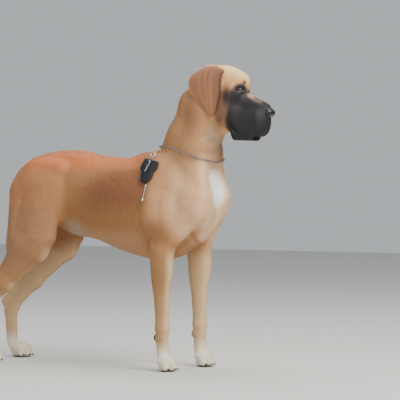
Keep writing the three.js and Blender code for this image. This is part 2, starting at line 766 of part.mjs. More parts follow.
const furLook = { color: 0xb98a5e, roughness: 0.8, metalness: 0 };
const darkLook = { color: 0x14110f, roughness: 0.35, metalness: 0 };
const metalLook = { color: 0x8d8f92, roughness: 0.3, metalness: 1 };
add("head", largest(head), furLook);
add("nose", geometryOf(noseMesh), darkLook);
add("ear_left", geometryOf(ears.left), furLook);
add("ear_right", geometryOf(ears.right), furLook);
add("eye_left", eyeAt(1), darkLook);
add("eye_right", eyeAt(-1), darkLook);

// The chain lies on the neck's base, lower at the throat and on the dog's right
const chain = { radius: 3.2, lift: 0.9, links: 60 };
const axisX = 270;
function outFromAxis(angle, z, lift) {
  const way = [Math.cos(angle), Math.sin(angle)];
  let near = 40;
  let far = 220;
  for (let i = 0; i < 24; i++) {
    const r = (near + far) / 2;
    if (bodyField([axisX + way[0] * r, way[1] * r, z]) > lift) far = r;
    else near = r;
  }
  return [axisX + way[0] * far, way[1] * far, z];
}
const chainLine = [];
for (let i = 0; i < chain.links; i++) {
  const angle = (2 * Math.PI * i) / chain.links;
  const z = 822 - 31 * Math.cos(angle) - 6 * Math.cos(2 * angle);
  chainLine.push(outFromAxis(angle, z, chain.radius + chain.lift));
}
const chainMesh = tube(chainLine, chainLine.map(() => chain.radius), 6, true);
add("collar_chain", geometryOf(chainMesh), metalLook);

// Pieces that hang on the right shoulder, from the nape down: where the skin is at a height and a length
function onShoulder(x, z, lift) {
  let outside = -260;
  let inside = 0;
  for (let i = 0; i < 26; i++) {
    const y = (outside + inside) / 2;
    if (bodyField([x, y, z]) > lift) outside = y;
    else inside = y;
  }
  return [x, outside, z];
}
const skinWay = ([x, y, z]) =>
  unit([
    bodyField([x + 1, y, z]) - bodyField([x - 1, y, z]),
    bodyField([x, y + 1, z]) - bodyField([x, y - 1, z]),
    bodyField([x, y, z + 1]) - bodyField([x, y, z - 1]),
  ]);
// Lays a geometry, drawn in the plane z = 0 with its length along y, flat on the shoulder
function laid(geometry, x, z, lift, tilt) {
  const at = onShoulder(x, z, lift);
  const out = new THREE.Vector3(...skinWay(at));
  const up = new THREE.Vector3(Math.sin(tilt), 0, Math.cos(tilt));
  up.addScaledVector(out, -up.dot(out)).normalize();
  const right = new THREE.Vector3().crossVectors(up, out);
  const frame = new THREE.Matrix4().makeBasis(right, up, out).setPosition(...at);
  return geometry.clone().applyMatrix4(frame);
}

const ringAt = (across, thick) => new THREE.TorusGeometry(across / 2 - thick / 2, thick / 2, 6, 18);
const longRing = ringAt(21, 3.6);
longRing.scale(1, 1.4, 1);
const hookShape = tube(
  [
    [0, 21, 0], [5, 20, 0], [6, 14, 0], [4, 6, 0], [2, -3, 0], [1, -13, 0], [-2, -22, 0],
  ],
  [2.2, 2.4, 2.4, 2.6, 3, 3, 2.2],
  6,
);
// A flat pouch, wide and slanted at its top and narrow at its foot
const fobOutline = new THREE.Shape();
fobOutline.moveTo(-20, 48);
fobOutline.lineTo(32, 35);
fobOutline.quadraticCurveTo(34, 34, 34, 31);
fobOutline.lineTo(32, 11);
fobOutline.quadraticCurveTo(30, 4, 19, -3);
fobOutline.lineTo(18, -23);
fobOutline.quadraticCurveTo(14, -40, -3, -46);
fobOutline.quadraticCurveTo(-20, -50, -24, -36);
fobOutline.lineTo(-28, -2);
fobOutline.lineTo(-35, 10);
fobOutline.lineTo(-24, 46);
fobOutline.quadraticCurveTo(-23, 48.5, -20, 48);
const fobForm = new THREE.ExtrudeGeometry(fobOutline, {
  depth: 5,
  bevelThickness: 2.5,
  bevelSize: 2.5,
  bevelSegments: 1,
  curveSegments: 5,
});
const rodForm = tube(
  [[0, 32, 0], [0, 27, 0], [0, 24, 0], [0, -20, 0], [0, -24, 0], [0, -32, 0]],
  [3.6, 4.4, 2.8, 2.8, 3.2, 5.4],
  8,
);
const smallLink = ringAt(13, 3.6);
smallLink.scale(1, 1.5, 1);
add("collar_link", laid(smallLink, 170, 832, 4.5, 1.3), metalLook);
add("collar_ring", laid(longRing, 153, 814, 5, 0.12), metalLook);
add("snap_hook", laid(geometryOf(hookShape), 148, 771, 18.5, 0.15), metalLook);
add("tag_fob", laid(fobForm, 153, 752, 7.5, 0), darkLook);
add("tag_rod", laid(geometryOf(rodForm), 147, 670, 8, 0.15), metalLook);

// Neck, trunk, tail, legs and paws
const chainRoom = solid(grown(geometryOf(chainMesh)));
const neckMesh = thinned(surface(pick("trunk", "neck", "skull", "jaw", "foreRight", "foreLeft"), [60, -180, 600], [480, 180, 1180], 8), 2000);
let neck = asSolid(neckMesh)
  .intersect(halfSpace(headPlane.point, back(headPlane.normal)))
  .intersect(halfSpace(neckPlane.point, neckPlane.normal));
neck = neck.subtract(chainRoom);
for (const ear of Object.values(ears)) neck = neck.subtract(solid(grown(geometryOf(ear))));
add("neck", largest(neck), furLook);

const bodyMesh = thinned(surface(bodyField, [-620, -200, 380], [470, 200, 900], 10), 2200);
const g = gap / 2;
const big = 900;
const tailBlock = (by) =>
  block([-big, -cuts.tailSide - by, 100], [cuts.tailFront + by, cuts.tailSide + by, cuts.tailTop + by]);
const hindBlock = (by) => block([-big, -300, -50], [cuts.hindFront + by, 300, cuts.hindTop + by]);
const foreBlock = (by) => block([100, -300, -50], [420, 300, cuts.foreTop + by]);
const trunkSolid = asSolid(bodyMesh)
  .intersect(halfSpace(neckPlane.point, back(neckPlane.normal)))
  .subtract(tailBlock(g))
  .subtract(hindBlock(g))
  .subtract(foreBlock(g))
  .subtract(chainRoom);
add("torso", largest(trunkSolid), furLook);

const tailMesh = thinned(surface(bodyField, [-620, -60, 230], [-400, 60, 790], 5), 900);
add("tail", largest(asSolid(tailMesh).intersect(tailBlock(-g))), furLook);

const sides = [
  ["left", 1],
  ["right", -1],
];
for (const [side, out] of sides) {
  const name = side === "left" ? "Left" : "Right";
  for (const end of ["fore", "hind"]) {
    const node = end === "fore" ? "front" : "hind";
    const x = stance[end + name];
    const y = out * stance[end + "Side"];
    const top = cuts[end + "Top"];
    const field = pick("trunk", end + name);
    const reach = end === "fore" ? 58 : 78;
    const heel = end === "fore" ? x : x + 14;
    const legBox = end === "fore" ? [x - 130, x + 170] : [-690, -180];
    const legMesh = thinned(
      surface(field, [legBox[0], Math.min(0, out * 200), 55], [legBox[1], Math.max(0, out * 200), top + 40], 7),
      end === "fore" ? 620 : 800,
    );
    const legBlock = (end === "fore" ? foreBlock : hindBlock)(-g);
    const shank = asSolid(legMesh)
      .intersect(legBlock)
      .intersect(halfSpace([0, 0, cuts.paw], [0, 0, 1]));
    add(`${node}_leg_${side}`, largest(shank), furLook);
    const pawMesh = thinned(
      surface(field, [heel - 60, y - 60, -12], [heel + reach + 20, y + 60, cuts.paw + 16], 3.6),
      620,
    );
    let paw = asSolid(pawMesh)
      .intersect(halfSpace([0, 0, cuts.paw], [0, 0, -1]))
      .intersect(halfSpace([0, 0, -g], [0, 0, 1]));
    const claws = clawsOf(heel, y, out, reach);
    claws.forEach((c, i) => {
      paw = paw.subtract(solid(grown(geometryOf(c))));
      add(`${node}_claw_${side}_${i + 1}`, geometryOf(c), darkLook);
    });
    add(`${node}_paw_${side}`, largest(paw), furLook);
  }
}

// The dog as a group of named pieces
const dog = new THREE.Group();
dog.name = "great_dane";
for (const { name, made, look } of parts) {
  const mesh = new THREE.Mesh(made, new THREE.MeshStandardMaterial(look));
  mesh.name = name;
  dog.add(mesh);
}
const extent = new THREE.Box3().setFromObject(dog);
const middle = extent.getCenter(new THREE.Vector3());
dog.position.set(-middle.x, -middle.y, -extent.min.z); // the origin is under the middle of the dog

export default dog;
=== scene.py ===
import math

import bpy
import numpy as np
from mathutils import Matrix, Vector


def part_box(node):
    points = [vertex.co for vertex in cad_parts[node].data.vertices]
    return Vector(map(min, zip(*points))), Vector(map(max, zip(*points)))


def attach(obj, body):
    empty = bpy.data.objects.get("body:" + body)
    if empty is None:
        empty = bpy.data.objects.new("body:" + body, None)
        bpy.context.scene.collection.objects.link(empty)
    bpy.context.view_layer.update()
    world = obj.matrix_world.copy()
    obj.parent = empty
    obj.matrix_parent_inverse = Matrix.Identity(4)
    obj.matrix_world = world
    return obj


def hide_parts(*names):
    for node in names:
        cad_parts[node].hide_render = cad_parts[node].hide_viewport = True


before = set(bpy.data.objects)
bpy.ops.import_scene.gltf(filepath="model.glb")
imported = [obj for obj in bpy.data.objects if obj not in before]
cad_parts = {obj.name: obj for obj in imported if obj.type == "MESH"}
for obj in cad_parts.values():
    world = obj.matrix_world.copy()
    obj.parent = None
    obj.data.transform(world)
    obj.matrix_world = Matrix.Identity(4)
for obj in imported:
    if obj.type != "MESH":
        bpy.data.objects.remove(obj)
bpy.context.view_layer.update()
print("frame loaded")

# Stance, eyes and nose, as the solids have them
stance = {
    "foreRight": 209,
    "foreLeft": 255,
    "foreSide": 110,
    "hindRight": -602,
    "hindLeft": -602,
    "hindSide": 113,
}
height = {"elbow": 446, "wrist": 146, "hip": 690, "stifle": 462, "hock": 208}
eyeBall = {"x": 486, "y": 37, "z": 1054, "radius": 13.0, "aim": (0.6, 0.8, 0.0)}
noseTip = (609, 0, 992)
headTurn = math.radians(5)
headPivot = (345, 0)


# Turns points of the straight head to the dog's left about a vertical line, or back with way -1
def turned(points, way=1.0):
    p = np.array(points, float)
    c, s = math.cos(headTurn), math.sin(headTurn) * way
    u = p[..., 0] - headPivot[0]
    y = p[..., 1].copy()
    p[..., 0] = headPivot[0] + u * c - y * s
    p[..., 1] = u * s + y * c
    return p


# The dog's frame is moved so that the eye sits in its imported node
eyeLow, eyeHigh = (np.array(v, float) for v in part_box("eye_left"))
dogShift = (eyeLow + eyeHigh) / 2 - turned((eyeBall["x"], eyeBall["y"], eyeBall["z"])) / 1000


def toWorld(points):
    return np.asarray(points, float) / 1000 + dogShift


# Camera at the photograph's angle, with a long lens from about seven metres
cameraSettings = {"place": (3.626, -6.503, 0.790), "azimuth": 27.0, "tiltDown": 1.157, "lens": 173.8}
cameraData = bpy.data.cameras.new("camera")
cameraData.lens = cameraSettings["lens"]
cameraData.sensor_width = 36
cameraData.clip_end = 100
cameraObject = bpy.data.objects.new("camera", cameraData)
bpy.context.collection.objects.link(cameraObject)
cameraObject.location = np.array(cameraSettings["place"]) + dogShift
cameraObject.rotation_euler = (
    math.radians(90 - cameraSettings["tiltDown"]),
    0,
    math.radians(cameraSettings["azimuth"]),
)
bpy.context.scene.camera = cameraObject

# Distance functions. Each mass is a blend radius and a function of an array of points.


# Distance to an ellipsoid: its scaled length times that less one, over the length of its slope
def ellipsoid(u, v, w, a, b, c):
    u, v, w = u / a, v / b, w / c
    near = np.sqrt(u * u + v * v + w * w)
    slope = np.sqrt((u / a) ** 2 + (v / b) ** 2 + (w / c) ** 2)
    return near * (near - 1) / np.maximum(slope, 1e-6)


# An ellipsoid whose nose is tipped up by pitch degrees and turned to its left by yaw degrees
def lump(centre, radii, blend, pitch=0, yaw=0):
    p, q = math.radians(-pitch), math.radians(yaw)
    turnY = np.array([[math.cos(p), 0, math.sin(p)], [0, 1, 0], [-math.sin(p), 0, math.cos(p)]])
    turnZ = np.array([[math.cos(q), -math.sin(q), 0], [math.sin(q), math.cos(q), 0], [0, 0, 1]])
    turn = turnZ @ turnY

    def at(points):
        local = (points - np.array(centre)) @ turn
        return ellipsoid(local[:, 0], local[:, 1], local[:, 2], *radii)

    return blend, at


# An ellipse carried along a line, with its depth from the side and its width mixed from end to end
def limb(a, b, sizeA, sizeB, blend):
    a, b = np.array(a, float), np.array(b, float)
    length = np.linalg.norm(b - a)
    along = (b - a) / length
    forward = np.cross(along, (0, -1, 0))
    forward = forward / np.linalg.norm(forward)
    side = np.cross(forward, along)

    def at(points):
        r = points - a
        down = r @ along
        t = np.clip(down / length, 0, 1)
        depth = sizeA[0] + (sizeB[0] - sizeA[0]) * t
        width = sizeA[1] + (sizeB[1] - sizeA[1]) * t
        return ellipsoid(r @ forward, r @ side, down - t * length, depth, width, np.minimum(depth, width))

    return blend, at


def mirror(p):
    return (p[0], -p[1], p[2])


# The same mass on both sides of the dog
def lumps(centre, *rest):
    return [lump(centre, *rest), lump(mirror(centre), *rest)]


def limbs(a, b, *rest):
    return [limb(a, b, *rest), limb(mirror(a), mirror(b), *rest)]


# Stations of the trunk from rump to breast: x, top, bottom and half width
trunkStations = [
    (-432, 783, 618, 70),
    (-335, 822, 548, 92),
    (-235, 830, 503, 98),
    (-130, 815, 484, 110),
    (-10, 803, 442, 130),
    (110, 808, 416, 136),
    (225, 800, 424, 118),
    (310, 765, 478, 92),
]
trunkEnds = {"rear": 34, "front": 62}  # how far each rounded end reaches
trunkWaist = 0.56  # share of the depth at which the trunk is widest
tailLine = [
    (-436, 0, 750),
    (-476, 0, 702),
    (-500, 0, 620),
    (-508, 0, 520),
    (-517, 0, 420),
    (-538, 0, 335),
    (-568, 0, 268),
]
tailRadii = (30, 24, 18, 15, 12, 9, 6)


# A smooth curve through stations, whose slope at each is that of the line between its neighbours
def stationCurve(x, stations, values):
    xs, vs = np.array(stations, float), np.array(values, float)
    slopes = np.empty(len(xs))
    slopes[1:-1] = (vs[2:] - vs[:-2]) / (xs[2:] - xs[:-2])
    slopes[0] = (vs[1] - vs[0]) / (xs[1] - xs[0])
    slopes[-1] = (vs[-1] - vs[-2]) / (xs[-1] - xs[-2])
    i = np.clip(np.searchsorted(xs, x) - 1, 0, len(xs) - 2)
    span = xs[i + 1] - xs[i]
    t = (x - xs[i]) / span
    a, b = slopes[i] * span, slopes[i + 1] * span
    return (
        vs[i] * (2 * t**3 - 3 * t**2 + 1)
        + a * (t**3 - 2 * t**2 + t)
        + vs[i + 1] * (3 * t**2 - 2 * t**3)
        + b * (t**3 - t**2)
    )


# An egg-shaped section whose top, bottom and half width follow the trunk's stations
def trunkMass(blend):
    columns = list(zip(*trunkStations))

    def at(points):
        x, y, z = points.T
        held = np.clip(x, columns[0][0], columns[0][-1])
        top, bottom, half = (stationCurve(held, columns[0], c) for c in columns[1:])
        waist = bottom + (top - bottom) * trunkWaist
        deep = np.where(z > waist, top - waist, waist - bottom)
        end = np.where(x < columns[0][0], trunkEnds["rear"], trunkEnds["front"])
        return ellipsoid(x - held, y, z - waist, end, half, deep)

    return blend, at


def trunkFlesh():
    return [
        trunkMass(30),
        limb((85, 0, 782), (170, 0, 792), (36, 36), (38, 38), 44),  # withers
        limb((-400, 0, 775), (-180, 0, 792), (26, 46), (24, 44), 40),  # loin
        *lumps((-262, 82, 762), (30, 20, 22), 34),  # hip bone
        *lumps((-352, 74, 715), (92, 46, 74), 44, 20),  # rump
        *lumps((-430, 46, 690), (36, 34, 62), 40, 10),  # seat bone
        *limbs((122, 52, 775), (318, 96, 640), (56, 30), (50, 36), 34),  # shoulder blade
        *lumps((204, 106, 570), (80, 34, 84), 36, -22),  # triceps
        *lumps((338, 96, 618), (36, 36, 46), 34),  # point of the shoulder
        *lumps((346, 42, 618), (42, 44, 82), 30, -8),  # breast
        lump((340, 0, 668), (34, 26, 34), 30),  # breastbone
    ]


def neckFlesh():
    return [
        limb((240, 0, 758), (285, 0, 862), (112, 90), (98, 80), 40),
        limb((279, 0, 862), (320, 0, 990), (100, 78), (85, 68), 40),
        limb((320, 0, 990), (374, 0, 1062), (83, 66), (69, 60), 40),
        limb((330, 0, 800), (372, 0, 880), (42, 34), (26, 26), 34),  # throat skin
        limb((372, 0, 880), (425, 0, 925), (22, 20), (22, 24), 26),  # dewlap
        *limbs((345, 40, 1040), (318, 58, 820), (26, 24), (44, 34), 40),  # neck muscle
        *limbs((318, 58, 820), (350, 86, 660), (44, 34), (44, 40), 44),  # its spread
    ]


def skullFlesh():
    return [
        lump((418, 0, 1084), (96, 64, 66), 30, -12),  # skull
        lump((352, 0, 1122), (28, 22, 26), 30),  # nape bump
        *lumps((474, 27, 1094), (30, 26, 25), 20, -30),  # brow
        *lumps((428, 42, 1044), (58, 27, 54), 28, -20),  # cheek
        *limbs((402, 58, 1064), (474, 46, 1038), (13, 11), (12, 9), 18),  # cheekbone
        limb((490, 0, 1020), (574, 0, 984), (30, 33), (24, 27), 26),  # bridge
        limb((450, 0, 985), (552, 0, 948), (52, 42), (42, 36), 30),  # muzzle
        *limbs((384, 30, 985), (446, 34, 950), (48, 30), (40, 28), 36),  # jaw angle
        *lumps((eyeBall["x"], eyeBall["y"], eyeBall["z"]), (15.6, 15.6, 15.6), 8),  # lids
    ]


def lipFlesh():
    return [
        *limbs((470, 43, 930), (552, 35, 934), (46, 20), (42, 20), 22),
        *limbs((474, 45, 897), (532, 40, 891), (31, 15), (27, 15), 18),
        *lumps((562, 18, 930), (30, 25, 50), 16, -4),
    ]


# A paw of four toes with its main pad, whose leg comes down at x
def pawFlesh(x, y, out, reach):
    masses = [
        lump((x + reach * 0.35, y, 36), (reach * 0.62, 33, 26), 16),
        lump((x + reach * 0.2, y, 14), (26, 25, 18), 10),
    ]
    for t in (-1.5, -0.5, 0.5, 1.5):
        tip = x + reach + (0 if abs(t) < 1 else -17)
        spread = y + out * t * 19
        masses += [
            limb((tip - 40, y + out * t * 16, 40), (tip - 18, spread, 33), (14, 11), (15, 12), 9),
            limb((tip - 20, spread, 31), (tip - 11, spread, 15), (15, 11.5), (13, 11.5), 6),
        ]
    return masses


def forelegFlesh(x, out):
    y = out * stance["foreSide"]
    elbow, wrist = height["elbow"], height["wrist"]
    return [
        limb((330, out * 98, 605), (x - 6, out * 112, elbow + 12), (44, 34), (44, 34), 34),  # upper arm
        lump((x - 40, out * 114, elbow + 14), (18, 14, 26), 24),  # point of the elbow
        limb((x - 2, y, elbow), (x - 1, y, wrist + 20), (43, 33), (25, 21), 26),  # forearm
        lump((x + 12, y + out * 5, elbow - 45), (30, 25, 82), 24),
        lump((x - 22, y, elbow - 50), (18, 20, 90), 24),
        lump((x + 1, y, wrist - 2), (24.5, 22, 40), 24),  # wrist
        lump((x - 27, y, wrist - 20), (9, 9, 13), 8),  # stop pad
        limb((x - 1, y, wrist - 26), (x + 3, y, 62), (23, 22), (24, 25), 14),  # pastern
    ] + pawFlesh(x, y, out, 58)


def hindlegFlesh(x, out):
    y = out * stance["hindSide"]
    hip, stifle, hock = height["hip"], height["stifle"], height["hock"]
    lead = x - stance["hindRight"]
    return [
        limb((-352, out * 80, hip), (-352 + lead, out * 108, stifle + 30), (104, 50), (92, 43), 40),  # thigh
        # hamstring
        limb((-436, out * 78, hip - 25), (-440 + lead, out * 104, stifle + 6), (42, 38), (44, 34), 34),
        lump((-334 + lead, out * 110, stifle - 8), (44, 34, 52), 34, 20),  # knee
        # calf
        limb((-385 + lead, out * 112, stifle - 16), (-498 + lead, out * 111, 318), (72, 39), (40, 26), 32),
        limb((-498 + lead, out * 111, 318), (x + 16, y, hock + 14), (39, 26), (30, 20), 34),  # shin
        limb((-490 + lead, out * 110, 372), (x - 26, y, hock + 24), (13, 10), (12, 9), 16),  # heel tendon
        lump((x + 2, y, hock - 6), (33, 23, 38), 16),  # hock
        lump((x - 30, y, hock + 14), (15, 13, 22), 12),  # point of the hock
        limb((x - 4, y, hock - 24), (x + 4, y, 62), (27, 20), (23, 22), 14),  # rear pastern
    ] + pawFlesh(x + 14, y, out, 78)


def tailFlesh():
    made = []
    for i in range(len(tailLine) - 1):
        a, b = tailRadii[i], tailRadii[i + 1]
        made.append(limb(tailLine[i], tailLine[i + 1], (a, a), (b, b), 8 if i else 22))
    return made


# The eye openings, the slit under the lips and the furrow below the nose
def headHollows():
    ax, ay = eyeBall["aim"][:2]
    aimYaw = math.degrees(math.atan2(ay, ax))
    hollows = []
    for side in (1, -1):
        spot = (eyeBall["x"] + ax * 12, side * (eyeBall["y"] + ay * 12), eyeBall["z"])
        hollows.append(lump(spot, (9, 12, 8), 4, 0, side * aimYaw))
    hollows += limbs((462, 34, 872), (548, 31, 872), (28, 3.4), (28, 3.4), 4)
    hollows += limbs((486, 66, 889), (450, 60, 930), (7, 7), (5.5, 5.5), 8)  # mouth corners
    hollows.append(limb((592, 0, 950), (590, 0, 916), (7, 2.4), (5, 2.2), 3))
    return hollows


# The lesser of two distances, rounded by up to a quarter of k where they are alike
def softer(a, b, k):
    h = np.maximum(k - np.abs(a - b), 0) / k
    return np.minimum(a, b) - h * h * k / 4


def headMass(mass):
    blend, at = mass
    return blend, lambda points: at(turned(points, -1.0))


bodyMasses = (
    trunkFlesh()
    + neckFlesh()
    + [headMass(m) for m in skullFlesh() + lipFlesh()]
    + [headMass(limb((440, 0, 928), (550, 0, 902), (24, 28), (17, 24), 18))]
    + forelegFlesh(stance["foreRight"], -1)
    + forelegFlesh(stance["foreLeft"], 1)
    + hindlegFlesh(stance["hindRight"], -1)
    + hindlegFlesh(stance["hindLeft"], 1)
    + tailFlesh()
)
hollowMasses = [headMass(m) for m in headHollows()]
cubeSide = 26.0  # points are worked through in cubes, each with only the masses that reach it
cubeMasses = {}


def blended(masses, points):
    distance = np.full(len(points), 1000.0, points.dtype)
    for blend, at in masses:
        distance = softer(distance, at(points), blend)
    return distance


# Finds, for cubes not met before, the masses that can shape the flesh inside each
def chooseMasses(keys, cells):
    fresh = [i for i, key in enumerate(keys) if key not in cubeMasses]
    if not fresh:
        return
    centres = (cells[fresh] + 0.5) * cubeSide
    own = np.stack([at(centres) for _, at in bodyMasses])
    blends = np.array([blend for blend, _ in bodyMasses])[:, None]
    total = blended(bodyMasses, centres)
    near = own < total + 0.6 * blends + 2.1 * cubeSide
    for i, chosen in zip(fresh, near.T):
        cubeMasses[keys[i]] = [bodyMasses[m] for m in np.flatnonzero(chosen)]


# Distance to the dog's flesh at each point, in millimetres, less than zero inside
def bodyDistance(points):
    cell = np.floor(points / cubeSide).astype(np.int64)
    key = (cell[:, 0] * 4096 + cell[:, 1]) * 4096 + cell[:, 2]
    order = np.argsort(key, kind="stable")
    groups = np.split(order, np.flatnonzero(np.diff(key[order])) + 1)
    firsts = np.array([g[0] for g in groups])
    keys = key[firsts].tolist()
    chooseMasses(keys, cell[firsts])
    points = points.astype(np.float32)
    result = np.empty(len(points))
    for name, group in zip(keys, groups):
        part = points[group]
        flesh = blended(cubeMasses[name], part)
        if part[0, 0] > 400 and part[0, 2] > 820:
            flesh = -softer(-flesh, blended(hollowMasses, part), 3)
            for side in (1, -1):
                eye = turned((eyeBall["x"], side * eyeBall["y"], eyeBall["z"]))
                flesh = np.maximum(flesh, eyeBall["radius"] + 0.4 - np.linalg.norm(part - eye, axis=1))
        result[group] = np.maximum(flesh, -part[:, 2])
    return result


# One point in every grid cell that the surface crosses, at the mean of its crossings, joined in quads
def netSurface(values, low, cell):
    inside = values < 0
    corners = [(i, j, k) for i in (0, 1) for j in (0, 1) for k in (0, 1)]
    ends = [n - 1 for n in inside.shape]
    spans = [tuple(slice(s, s + n) for s, n in zip(corner, ends)) for corner in corners]
    count = sum(inside[span].astype(np.int8) for span in spans)
    active = (count > 0) & (count < 8)
    cells = np.argwhere(active)
    number = np.full(active.shape, -1, np.int32)
    number[active] = np.arange(len(cells))
    total = np.zeros((len(cells), 3))
    crossings = np.zeros(len(cells))
    for a in corners:
        for axis in range(3):
            if a[axis]:
                continue
            b = list(a)
            b[axis] = 1
            va = values[cells[:, 0] + a[0], cells[:, 1] + a[1], cells[:, 2] + a[2]]
            vb = values[cells[:, 0] + b[0], cells[:, 1] + b[1], cells[:, 2] + b[2]]
            cut = (va < 0) != (vb < 0)
            t = va[cut] / (va[cut] - vb[cut])
            place = np.tile(np.array(a, float), (len(t), 1))
            place[:, axis] += t
            total[cut] += place
            crossings[cut] += 1
    points = np.array(low) + cell * (cells + total / crossings[:, None])
    quads = []
    for axis in range(3):
        u, v = (axis + 1) % 3, (axis + 2) % 3
        here = np.moveaxis(inside, axis, 0)
        change = np.argwhere(here[:-1] != here[1:])
        spot = np.zeros_like(change)
        other = [k for k in range(3) if k != axis]
        spot[:, axis] = change[:, 0]
        spot[:, other[0]] = change[:, 1]
        spot[:, other[1]] = change[:, 2]
        beside = spot[:, other]
        spot = spot[np.all((beside > 0) & (beside < np.array(active.shape)[other]), axis=1)]
        stepU, stepV = np.eye(3, dtype=int)[u], np.eye(3, dtype=int)[v]
        ring = [spot - stepU - stepV, spot - stepV, spot, spot - stepU]
        quad = np.stack([number[r[:, 0], r[:, 1], r[:, 2]] for r in ring], 1)
        outward = inside[spot[:, 0], spot[:, 1], spot[:, 2]]
        quads.append(np.where(outward[:, None], quad, quad[:, ::-1]))
    return points, np.concatenate(quads)


# A mesh object in metres from points in the dog's millimetres and faces as arrays of one or more sizes
def meshObject(name, points, faces, material=None, smooth=True):
    groups = faces if isinstance(faces, list) else [faces]
    mesh = bpy.data.meshes.new(name)
    mesh.vertices.add(len(points))
    mesh.vertices.foreach_set("co", toWorld(points).astype(np.float32).ravel())
    sizes = np.concatenate([np.full(len(f), f.shape[1], np.int32) for f in groups])
    mesh.loops.add(int(sizes.sum()))
    mesh.loops.foreach_set("vertex_index", np.concatenate([f.ravel() for f in groups]).astype(np.int32))
    mesh.polygons.add(len(sizes))
    mesh.polygons.foreach_set("loop_start", (np.cumsum(sizes) - sizes).astype(np.int32))
    mesh.polygons.foreach_set("use_smooth", np.full(len(sizes), smooth))
    mesh.update(calc_edges=True)
    mesh.validate()
    made = bpy.data.objects.new(name, mesh)
    bpy.context.collection.objects.link(made)
    if material:
        mesh.materials.append(material)
    return made


# Ties a piece to the dog's one body, in the place of imported nodes, which it hides
def settle(made, slot, *nodes):
    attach(made, "root")
    if nodes:
        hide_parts(*nodes)


def setColours(made, colours):
    attribute = made.data.color_attributes.new("coatColor", "FLOAT_COLOR", "POINT")
    rgba = np.ones((len(colours), 4), np.float32)
    rgba[:, :3] = colours
    attribute.data.foreach_set("color", rgba.ravel())


# The skin: the whole body as one surface, just inside the solids by the depth of the short coat
skinSettings = {"cell": 3.6, "depth": 1.0, "low": (-690, -175, -10), "high": (655, 175, 1180)}


# The surface where a distance is level inside a box, worked out only in cubes near the surface
def fineNet(low, high, cell, distance, level=0.0, whole=None):
    counts = [int(math.ceil((h - l) / cell)) + 1 for l, h in zip(low, high)]
    values = np.full(counts, 1000.0, np.float32)
    step = 8
    side = step * cell
    starts = [np.arange(0, n, step) for n in counts]
    blocks = np.stack(np.meshgrid(*starts, indexing="ij"), -1).reshape(-1, 3)
    middle = np.array(low) + (blocks + (step - 1) / 2) * cell
    coarse = (whole or distance)(middle)
    near = np.abs(coarse - level) < 1.15 * side
    for block, value in zip(blocks[~near], coarse[~near]):
        values[tuple(slice(b, b + step) for b in block)] = value
    offsets = np.stack(np.meshgrid(*[np.arange(step)] * 3, indexing="ij"), -1).reshape(-1, 3)
    ids = (blocks[near][:, None, :] + offsets).reshape(-1, 3)
    ids = ids[np.all(ids < np.array(counts), axis=1)]
    for start in range(0, len(ids), 1 << 20):
        part = ids[start : start + (1 << 20)]
        values[part[:, 0], part[:, 1], part[:, 2]] = distance(np.array(low) + part * cell) - level
    return netSurface(values, low, cell)


# Values that go smoothly from 0 at start to 1 at end
def fade(values, start, end):
    t = np.clip((values - start) / (end - start), 0, 1)
    return t * t * (3 - 2 * t)


def onLeft(p):
    return np.stack([p[:, 0], np.abs(p[:, 1]), p[:, 2]], 1)


# 1 inside an ellipsoid or its twin on the right, falling to 0 across its edge
def zone(p, centre, radii, edge):
    reach = np.linalg.norm((onLeft(p) - np.array(centre)) / np.array(radii), axis=1)
    return fade(reach, 1 + edge, 1 - edge)


# A function that mixes rows in place towards a named value, by an amount from 0 to 1 for each row
def mixer(rows, values):
    def mix(name, amount):
        rows[:] += (values[name] - rows) * np.clip(amount, 0, 1)[:, None]

    return mix


# How far points lie ahead of the sloping line between the neck and the head
def headLine(p):
    return p[:, 0] + 0.3 * (p[:, 2] - 1000)


# Creases pressed into the skin and cords raised on it: a line, a depth (less than zero raises) and a width
creases = [
    (((236, 128, 476), (282, 130, 520), (330, 122, 560)), 3.0, 9),  # between upper arm and chest
    (((128, 108, 640), (120, 128, 560), (140, 140, 490)), 3.0, 12),  # behind the upper arm
    (((250, 118, 730), (200, 132, 640), (214, 138, 560)), 2.0, 14),  # rear edge of the shoulder blade
    (((-236, 112, 560), (-210, 96, 520), (-196, 74, 486)), 4.0, 12),  # fold of the flank
    (((-402, 128, 640), (-424, 130, 560), (-432, 128, 470)), 3.0, 12),  # between thigh muscles
    (((-330, 128, 620), (-346, 134, 540), (-366, 132, 470)), -2.0, 15),
    (((404, 44, 934), (384, 62, 900), (352, 74, 868)), 3.0, 8),  # throat fold
    (((412, 36, 905), (388, 44, 872), (370, 48, 838)), 2.6, 7),
    (((330, 92, 700), (352, 80, 640), (356, 72, 570)), 3.0, 10),  # between shoulder and breast
    (((322, 66, 556), (300, 66, 500), (270, 52, 462)), 3.0, 9),
]
ribs = {
    "count": 7,
    "first": ((108, 112, 720), (82, 130, 620), (98, 118, 540)),
    "step": (-34, 0, 0),
    "depth": 0.9,
    "width": 9,
}


# Distance from points to a broken line
def lineDistance(p, line):
    best = np.full(len(p), 1e6)
    for a, b in zip(line[:-1], line[1:]):
        a, b = np.array(a, float), np.array(b, float)
        t = np.clip((p - a) @ (b - a) / ((b - a) @ (b - a)), 0, 1)
        best = np.minimum(best, np.linalg.norm(p - a - t[:, None] * (b - a), axis=1))
    return best


# How far the creases, cords and ribs move each point of the skin along its normal
def creaseDepth(p):
    q = onLeft(p)
    depth = np.zeros(len(p))
    for line, amount, width in creases:
        depth -= amount * np.exp(-((lineDistance(q, line) / width) ** 2))
    for i in range(ribs["count"]):
        rib = np.array(ribs["first"]) + i * np.array(ribs["step"])
        depth += ribs["depth"] * np.exp(-((lineDistance(q, rib) / ribs["width"]) ** 2))
    return depth


def meshPoints(mesh):
    world = np.empty(len(mesh.vertices) * 3, np.float32)
    mesh.vertices.foreach_get("co", world)
    return (world.reshape(-1, 3).astype(float) - dogShift) * 1000


